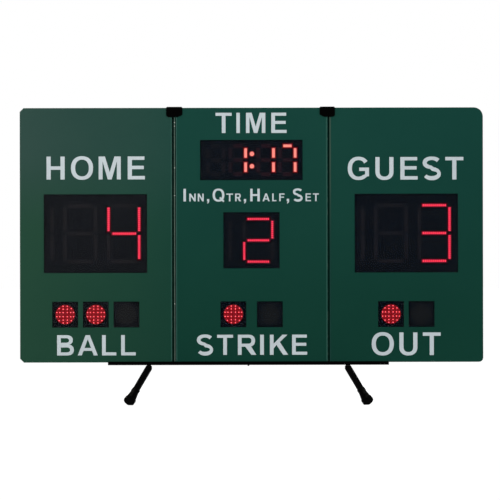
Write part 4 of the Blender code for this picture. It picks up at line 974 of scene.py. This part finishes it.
def fill_outlines(loops, thickness):
    """A flat solid from closed outlines, holes included: x and y in the page, z its thickness."""
    curve = bpy.data.curves.new("outline", "CURVE")
    curve.dimensions = "2D"
    curve.fill_mode = "BOTH"
    curve.extrude = thickness / 2
    for loop in loops:
        spline = curve.splines.new("POLY")
        spline.points.add(len(loop) - 1)
        for point, (x, y) in zip(spline.points, loop):
            point.co = (x, y, 0.0, 1.0)
        spline.use_cyclic_u = True
    obj = new_object("outline", curve)
    depsgraph = bpy.context.evaluated_depsgraph_get()
    depsgraph.update()
    mesh = bpy.data.meshes.new_from_object(obj.evaluated_get(depsgraph), depsgraph=depsgraph)
    bpy.data.objects.remove(obj, do_unlink=True)
    bpy.data.curves.remove(curve)
    return mesh


class SCOREBOARD_OT_lettering(Operator):
    """Print the words on the panels in plain bold capitals"""
    bl_idname = "scoreboard.lettering"
    bl_label = "Print the words"

    def execute(self, context):
        settings = context.scene.scoreboard.lettering
        for name, (body, foot, height, letters) in WORDS.items():
            bm = bmesh.new()
            for character, left, width in letters:
                cap = height / 1000
                over = cap * 0.016 if character in "OQGSU" else 0.0
                tall = cap + over * (2 if character != "U" else 1)
                wide = width / 1000
                stem = min(settings.stem * cap, wide)
                sets = [letter_loops(character, wide, tall, stem, settings.bar * cap)]
                if character == "Q":
                    sets.append([[(wide * 0.56, tall * 0.27), (wide * 0.66, tall * 0.36),
                                  (wide * 1.00, tall * 0.06), (wide * 0.91, -tall * 0.05)]])
                for lift, loops in enumerate(sets):
                    mesh = fill_outlines(loops, settings.thickness + lift * 0.00002)
                    for vert in mesh.vertices:
                        x, y, z = vert.co
                        vert.co = (left / 1000 + x, FACE_Y + 0.00004 - settings.thickness / 2 - z,
                                   BOARD_BOTTOM + foot / 1000 - over + y)
                    bm.from_mesh(mesh)
                    bpy.data.meshes.remove(mesh)
            bmesh.ops.remove_doubles(bm, verts=bm.verts, dist=0.000004)
            add_piece("print_" + name, bm, body, "print_grey")
        return {"FINISHED"}


class SCOREBOARD_OT_scores(Operator):
    """Light the score and period digits"""
    bl_idname = "scoreboard.scores"
    bl_label = "Light the scores"

    def execute(self, context):
        settings = context.scene.scoreboard.display
        for label, body, places, digit, text, slip, aside in (
                ("home", "left_wing", SCORE_DIGITS_X, SCORE_DIGIT, settings.home_score,
                 HOME_LED_SLIP, 0.0),
                ("guest", "right_wing", SCORE_DIGITS_X, SCORE_DIGIT, settings.guest_score, 0.0,
                 GUEST_ASIDE),
                ("period", "center_unit", PERIOD_DIGITS_X, PERIOD_DIGIT, settings.period, 0.0,
                 0.0)):
            x, z, _, _ = window_of(label)
            bars = shown_bars(x + aside, z, places, digit, text)
            light_bars(label, body, bars, digit[2], settings, slip)
        return {"FINISHED"}


class SCOREBOARD_OT_clock(Operator):
    """Light the clock's digits and its colon"""
    bl_idname = "scoreboard.clock"
    bl_label = "Light the clock"

    def execute(self, context):
        settings = context.scene.scoreboard.display
        x, z, _, _ = window_of("time")
        bars = shown_bars(x, z, CLOCK_DIGITS_X, CLOCK_DIGIT, settings.clock)
        light_bars("time", "center_unit", bars, CLOCK_DIGIT[2], settings)
        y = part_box("time_display_board")[0].y
        colon_x = x + (CLOCK_DIGITS_X[1] + CLOCK_DIGITS_X[2]) / 2
        bm = bmesh.new()
        rings = []
        for lift in (-1, 1):
            middle = z + lift * COLON_HALF_SPACING
            add_prism(bm, circle(COLON_RADIUS - settings.bar_inset, 28, colon_x, middle),
                      (0, y - LIT_FRONT, 0), (1, 0, 0), (0, 0, 1), (0, LIT_FRONT - LIT_REAR, 0))
            rings.append((circle(COLON_RADIUS, 28, colon_x, middle),
                          circle(COLON_RADIUS + settings.glow_reach * 0.8, 28, colon_x, middle)))
        add_piece("time_lit_colon", bm, "center_unit", "led_salmon")
        glow_piece("time_colon_glow", rings, y - GLOW_REAR, "center_unit", "glow_clock")
        return {"FINISHED"}


class SCOREBOARD_OT_lamps(Operator):
    """Light the ball, strike and out lamps"""
    bl_idname = "scoreboard.lamps"
    bl_label = "Light the lamps"

    def execute(self, context):
        settings = context.scene.scoreboard.display
        for label, body, count, lit in (("ball", "left_wing", 3, settings.balls),
                                        ("strike", "center_unit", 2, settings.strikes),
                                        ("out", "right_wing", 2, settings.outs)):
            x, z, span, opening = window_of(label)
            pitch = (span - opening) / (count - 1)
            middles = [x + pitch * (i - (count - 1) / 2) for i in range(lit)]
            light_lamps(label, body, middles, z, settings.lamp_led_radius)
        return {"FINISHED"}


def bead_profile(width, proud, steps=6):
    """A low half-round as (across, out) points, its foot just inside the paint."""
    points = [(width / 2 - width / 2 * math.cos(math.pi * i / steps),
               proud * math.sin(math.pi * i / steps)) for i in range(steps + 1)]
    return points + [(width, -STRIP_FOOT), (0.0, -STRIP_FOOT)]


def add_strip(name, x, profile, low, high, body, finish, waves=0.0):
    """A strip that runs up the face beside a seam. waves lifts it here and there, as if dented."""
    bm = bmesh.new()
    rows = 60 if waves else 1
    rings = []
    for row in range(rows + 1):
        z = low + (high - low) * row / rows
        swell = 1.0 + waves * max(0.0, math.sin(z * 61.0) * math.sin(z * 23.0 + 1.0)) ** 3
        rings.append([bm.verts.new((x + a, FACE_Y - b * swell if b > 0 else FACE_Y - b, z))
                      for a, b in profile])
    for first, second in zip(rings, rings[1:]):
        join_rings(bm, first, second)
    bm.faces.new(rings[0])
    bm.faces.new(rings[-1][::-1])
    add_piece(name, bm, body, finish)


class SCOREBOARD_OT_seam_trim(Operator):
    """Run the worn bead, the groove and the ridges up the edges beside the two seams: beads and
    ridges lighter as painted highlights, edge and groove strips in painted shadow
    """
    bl_idname = "scoreboard.seam_trim"
    bl_label = "Trim the seams"

    def execute(self, context):
        settings = context.scene.scoreboard.trim
        proud, ridge = settings.bead_proud, settings.ridge
        low = BOARD_BOTTOM + 0.004
        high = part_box("left_seam_clip")[0].z - 0.0015
        flat = ((0, GROOVE_PROUD), (settings.groove, GROOVE_PROUD), (settings.groove, -STRIP_FOOT),
                (0, -STRIP_FOOT))
        edge = tuple((across * 0.45, out) for across, out in flat)
        low_bead = bead_profile(ridge, proud * 0.4)
        wing, center = seam_edges("left")
        bead = center + settings.groove * 0.45 + 0.0002
        groove = bead + settings.left_bead
        right_center, right_wing = seam_edges("right")
        for name, x, profile, body, finish, waves in (
                # Ridges are low and painted pale, as highlights of lit edges
                ("left_wing_ridge", wing - 0.0012 - ridge, low_bead, "left_wing", "seam_ridge",
                 0.0),
                # The edge and groove strips are flat, in painted seam shadow
                ("left_seam_edge", center + 0.0001, edge, "center_unit", "seam_shadow", 0.0),
                # The beads are lighter as painted highlights of lit edges; the left one is also
                # rubbed
                ("left_seam_bead", bead, bead_profile(settings.left_bead, proud), "center_unit",
                 "worn_bead", 0.8),
                ("left_seam_groove", groove, flat, "center_unit", "seam_shadow", 0.0),
                ("left_seam_ridge", groove + settings.groove, low_bead, "center_unit",
                 "seam_ridge", 0.0),
                ("right_seam_ridge", right_center - 0.0024 - ridge, low_bead, "center_unit",
                 "seam_ridge", 0.0),
                ("right_seam_bead", right_wing + 0.0002, bead_profile(settings.right_bead, proud),
                 "right_wing", "soft_bead", 0.4)):
            add_strip(name, x, profile, low, high, body, finish, waves)

        # Chipped dabs of paint on the left bead
        dab = bmesh.new()
        bmesh.ops.create_icosphere(dab, subdivisions=2, radius=1.0)
        for vert in dab.verts:
            vert.co.x *= 0.7
            vert.co.z *= 0.35
        shape = new_object("dab_shape", mesh_of("dab_shape", dab))
        places = [(bead + 0.0011, FACE_Y - proud * 0.7,
                   BOARD_BOTTOM + share * (BOARD_TOP - BOARD_BOTTOM)) for share in DAB_HEIGHTS]
        repeat_shape("left_seam_dabs", shape, places, OUT, "center_unit", "green_shell",
                     "paint_fleck", settings.dab, 1.2, 5)
        bpy.data.objects.remove(shape, do_unlink=True)
        return {"FINISHED"}


def screw_shape():
    """A pan head of radius 1 with a cross recess, its seat at z = 0."""
    bm = bmesh.new()
    profile = ((1.0, -0.03), (1.0, 0.18), (0.93, 0.34), (0.72, 0.48), (0.52, 0.53))
    rings = [[bm.verts.new((x, y, h)) for x, y in circle(r, 20)] for r, h in profile]
    for first, second in zip(rings, rings[1:]):
        join_rings(bm, first, second)
    bm.faces.new(rings[0][::-1])
    half, arm, floor = 0.10, 0.42, 0.22
    cross = [(half, half), (half, arm), (-half, arm), (-half, half), (-arm, half), (-arm, -half),
             (-half, -half), (-half, -arm), (half, -arm), (half, -half), (arm, -half), (arm, half)]
    top = [bm.verts.new((x, y, 0.54)) for x, y in cross]
    low = [bm.verts.new((x * 0.8, y * 0.8, floor)) for x, y in cross]
    join_rings(bm, top, low)
    bm.faces.new(low)
    bmesh.ops.bridge_loops(bm, edges=[e for e in bm.edges
                                      if all(v in rings[-1] for v in e.verts)
                                      or all(v in top for v in e.verts)])
    return new_object("screw_shape", mesh_of("screw_shape", bm))


def seam_edges(side):
    """The faces of the seam walls on either side of a seam, from the pin of its hinge."""
    low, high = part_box(side + "_lower_hinge_pin")
    middle = (low.x + high.x) / 2
    return middle - SEAM_GAP / 2, middle + SEAM_GAP / 2


def cover_screws(side):
    """Places of a back cover's screws, as in the solids: by the seams and by the outer wall."""
    low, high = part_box(side + "_back_cover")
    stile, inset, margin, slack = 0.014, 0.008, 0.024, 0.0003
    places_x = [low.x - slack + (inset if side == "left" else stile / 2),
                high.x + slack - (inset if side == "right" else stile / 2)]
    heights = (BOARD_BOTTOM + margin, (BOARD_BOTTOM + BOARD_TOP) / 2, BOARD_TOP - margin)
    return [(x, BACK_Y, z) for x in places_x for z in heights]


class SCOREBOARD_OT_screws(Operator):
    """Put the screws in the back covers, the hinges, the battery cover and the leg brackets"""
    bl_idname = "scoreboard.screws"
    bl_label = "Put in the screws"

    def execute(self, context):
        radius = context.scene.scoreboard.trim.screw_radius
        shape = screw_shape()
        jobs = [(side + "_cover_screws", body, cover_screws(side), BACK, radius)
                for side, body in (("left", "left_wing"), ("center", "center_unit"),
                                   ("right", "right_wing"))]
        for node, body in (("left_wing_leaf", "left_wing"), ("left_fixed_leaf", "center_unit"),
                           ("right_wing_leaf", "right_wing"), ("right_fixed_leaf", "center_unit")):
            side, leaf = node.split("_", 1)
            points = []
            for level in ("lower", "upper"):
                low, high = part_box(f"{side}_{level}_hinge_{leaf}")
                outward = -1 if (side == "left") == (leaf == "wing_leaf") else 1
                edge = low.x if outward < 0 else high.x
                points += [(edge - outward * offset, low.y + LEAF_SEAT[side],
                            low.z + (high.z - low.z) * share) for share, offset in LEAF_SCREWS]
            jobs.append((node + "_screws", body, points, BACK, LEAF_SCREW))
        low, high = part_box("battery_cover")
        middle = (low.z + high.z) / 2
        points = [(x, high.y, middle) for x in (low.x + BATTERY_INSET, high.x - BATTERY_INSET)]
        jobs.append(("battery_cover_screws", "center_unit", points, BACK, BATTERY_SCREW))
        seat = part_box("support_rail")[1].z - BRACKET_SEAT
        for side in ("left", "right"):
            low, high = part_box(side + "_leg_bracket")
            points = [((low.x + high.x) / 2 + shift, 0.0, seat) for shift in BRACKET_SCREWS]
            jobs.append((side + "_bracket_screws", "center_unit", points, DOWN, BRACKET_SCREW))
        for seed, (name, body, points, aim, size) in enumerate(jobs):
            repeat_shape(name, shape, points, aim, body, "black_steel", "screw_black", size,
                         math.pi, seed)
        bpy.data.objects.remove(shape, do_unlink=True)
        return {"FINISHED"}


class SCOREBOARD_OT_controls(Operator):
    """Mark the power switch and sheathe the inlet's blades"""
    bl_idname = "scoreboard.controls"
    bl_label = "Finish the power controls"

    def execute(self, context):
        # The rocker's two flats slope up to its ends; at rest the lower flat lies level
        low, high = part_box("power_rocker")
        body_low, body_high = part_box("power_switch_body")
        crown, tilt, thick = 0.003, math.radians(10), 0.00015
        axle = Vector(((low.x + high.x) / 2, BACK_Y - crown, (body_low.z + body_high.z) / 2))
        turn = Matrix.Translation(axle) @ Matrix.Rotation(-tilt, 4, "X")
        for name, half in (("rocker_on_mark", 1), ("rocker_off_mark", -1)):
            flat = turn @ Matrix.Translation((0, crown, 0)) @ Matrix.Rotation(half * tilt, 4, "X")
            across, out, up = flat.to_3x3().col
            origin = flat @ Vector((0, 0, half * 0.0052)) - out * 0.00005
            bm = bmesh.new()
            if half > 0:
                add_prism(bm, [(-0.0004, -0.0018), (0.0004, -0.0018), (0.0004, 0.0018),
                               (-0.0004, 0.0018)], origin, across, up, out * thick)
            else:
                rings = [[bm.verts.new(origin + across * a + up * b + out * lift)
                          for a, b in circle(radius, 24)]
                         for radius, lift in ((0.0013, 0.0), (0.0019, 0.0), (0.0019, thick),
                                              (0.0013, thick))]
                for first, second in zip(rings, rings[1:] + rings[:1]):
                    join_rings(bm, first, second)
            add_piece(name, bm, "power_switch_rocker", "white_print")
        low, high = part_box("power_inlet")
        middle = (low + high) / 2
        bm = bmesh.new()
        half_thick, half_wide = 0.00085, 0.0029
        for x in (middle.x - 0.0044, middle.x + 0.0044):
            add_box(bm, (x - half_thick, low.y + 0.0014, middle.z - half_wide),
                    (x + half_thick, low.y + 0.0064, middle.z + half_wide), 0.0001)
        add_piece("inlet_blades", bm, "center_unit", "contact_metal")
        return {"FINISHED"}


def choose_surface(tree, output, usual, seen):
    """The usual shader, but the seen one for camera, glossy and transmission rays."""
    path = add_node(tree, "ShaderNodeLightPath").outputs
    first = math_node(tree, "MAXIMUM", path["Is Camera Ray"], path["Is Glossy Ray"])
    choose = add_node(tree, "ShaderNodeMixShader", {
        0: math_node(tree, "MAXIMUM", first, path["Is Transmission Ray"]),
        1: usual.outputs[0], 2: seen.outputs[0]})
    add_node(tree, output, {"Surface": choose.outputs[0]})


def make_floor():
    """A pale floor that looks white to the camera and keeps the object's shadow."""
    mat = bpy.data.materials.new("pale_floor")
    mat.use_nodes = True
    tree = mat.node_tree
    tree.nodes.clear()
    where = add_node(tree, "ShaderNodeTexCoord").outputs["Object"]
    tone = mix_colors(tree, noise_node(tree, where, 40.0, 2.0), (0.80,) * 3, (0.84,) * 3)
    plain = add_node(tree, "ShaderNodeBsdfDiffuse", {"Color": tone})
    part = add_node(tree, "ShaderNodeBsdfDiffuse", {"Color": (0.36, 0.36, 0.36, 1)})
    glow = add_node(tree, "ShaderNodeEmission", {"Strength": 0.80})
    both = add_node(tree, "ShaderNodeAddShader", {0: part.outputs[0], 1: glow.outputs[0]})
    choose_surface(tree, "ShaderNodeOutputMaterial", plain, both)
    bm = bmesh.new()
    bmesh.ops.create_grid(bm, x_segments=8, y_segments=8, size=60.0)
    mesh = bpy.data.meshes.new("floor")
    bm.to_mesh(mesh)
    bm.free()
    floor = new_object("floor", mesh)
    mesh.materials.append(mat)


def make_world(ambient):
    world = bpy.data.worlds.new("studio")
    bpy.context.scene.world = world
    world.use_nodes = True
    tree = world.node_tree
    tree.nodes.clear()
    soft, white = [add_node(tree, "ShaderNodeBackground", {"Color": color, "Strength": strength})
                   for color, strength in (((0.98, 1.0, 1.0, 1), ambient), ((1, 1, 1, 1), 1.0))]
    choose_surface(tree, "ShaderNodeOutputWorld", soft, white)


def add_lamp(name, place, target, size, power, color):
    data = bpy.data.lights.new(name, "AREA")
    data.shape = "DISK"
    data.size = size
    data.energy = power
    data.color = color
    lamp = new_object(name, data)
    lamp.location = place
    lamp.rotation_euler = (Vector(target) - Vector(place)).to_track_quat("-Z", "Y").to_euler()


class SCOREBOARD_OT_stage(Operator):
    """Set up the pale floor, the soft light and the camera"""
    bl_idname = "scoreboard.stage"
    bl_label = "Set the stage"

    def execute(self, context):
        settings = context.scene.scoreboard.stage
        make_floor()
        make_world(settings.ambient)
        for name, place, target, size, share, color in LAMPS:
            add_lamp(name, place, target, size, settings.key * share, color)
        data = bpy.data.cameras.new("camera")
        data.sensor_width = 36.0
        data.lens = data.sensor_width * settings.camera_distance / settings.frame_height
        data.clip_end = 200.0
        camera = new_object("camera", data)
        camera.location = (CAMERA_X, -settings.camera_distance, CAMERA_Z)
        camera.rotation_euler = (math.radians(90), CAMERA_ROLL, 0.0)
        context.scene.camera = camera
        context.scene.view_settings.view_transform = "Standard"
        return {"FINISHED"}


class SCOREBOARD_PT_finish(Panel):
    """Lists the steps of the scoreboard's finish"""
    bl_label = "Scoreboard finish"
    bl_idname = "SCOREBOARD_PT_finish"
    bl_space_type = "VIEW_3D"
    bl_region_type = "UI"
    bl_category = "Scoreboard"

    def draw(self, context):
        settings = context.scene.scoreboard
        for title, group in (("Paint", settings.paint), ("Print", settings.lettering),
                             ("Displays", settings.display), ("Trim", settings.trim),
                             ("Stage", settings.stage)):
            box = self.layout.box()
            box.label(text=title)
            for key in group.__annotations__:
                box.prop(group, key)
        for step in STEPS:
            self.layout.operator(step.bl_idname)


STEPS = (SCOREBOARD_OT_paint_frame, SCOREBOARD_OT_lettering, SCOREBOARD_OT_scores,
         SCOREBOARD_OT_clock, SCOREBOARD_OT_lamps, SCOREBOARD_OT_seam_trim, SCOREBOARD_OT_screws,
         SCOREBOARD_OT_controls, SCOREBOARD_OT_stage)
CLASSES = (PaintSettings, LetteringSettings, DisplaySettings, TrimSettings, StageSettings,
           ScoreboardSettings, *STEPS, SCOREBOARD_PT_finish)


def register():
    for item in CLASSES:
        bpy.utils.register_class(item)
    bpy.types.Scene.scoreboard = PointerProperty(type=ScoreboardSettings)


def unregister():
    del bpy.types.Scene.scoreboard
    for item in reversed(CLASSES):
        bpy.utils.unregister_class(item)


def main():
    register()
    for name in ("paint_frame", "lettering", "scores", "clock", "lamps", "seam_trim", "screws",
                 "controls", "stage"):
        if getattr(bpy.ops.scoreboard, name)() != {"FINISHED"}:
            raise RuntimeError(name + " did not finish")
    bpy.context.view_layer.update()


if __name__ == "__main__":
    main()
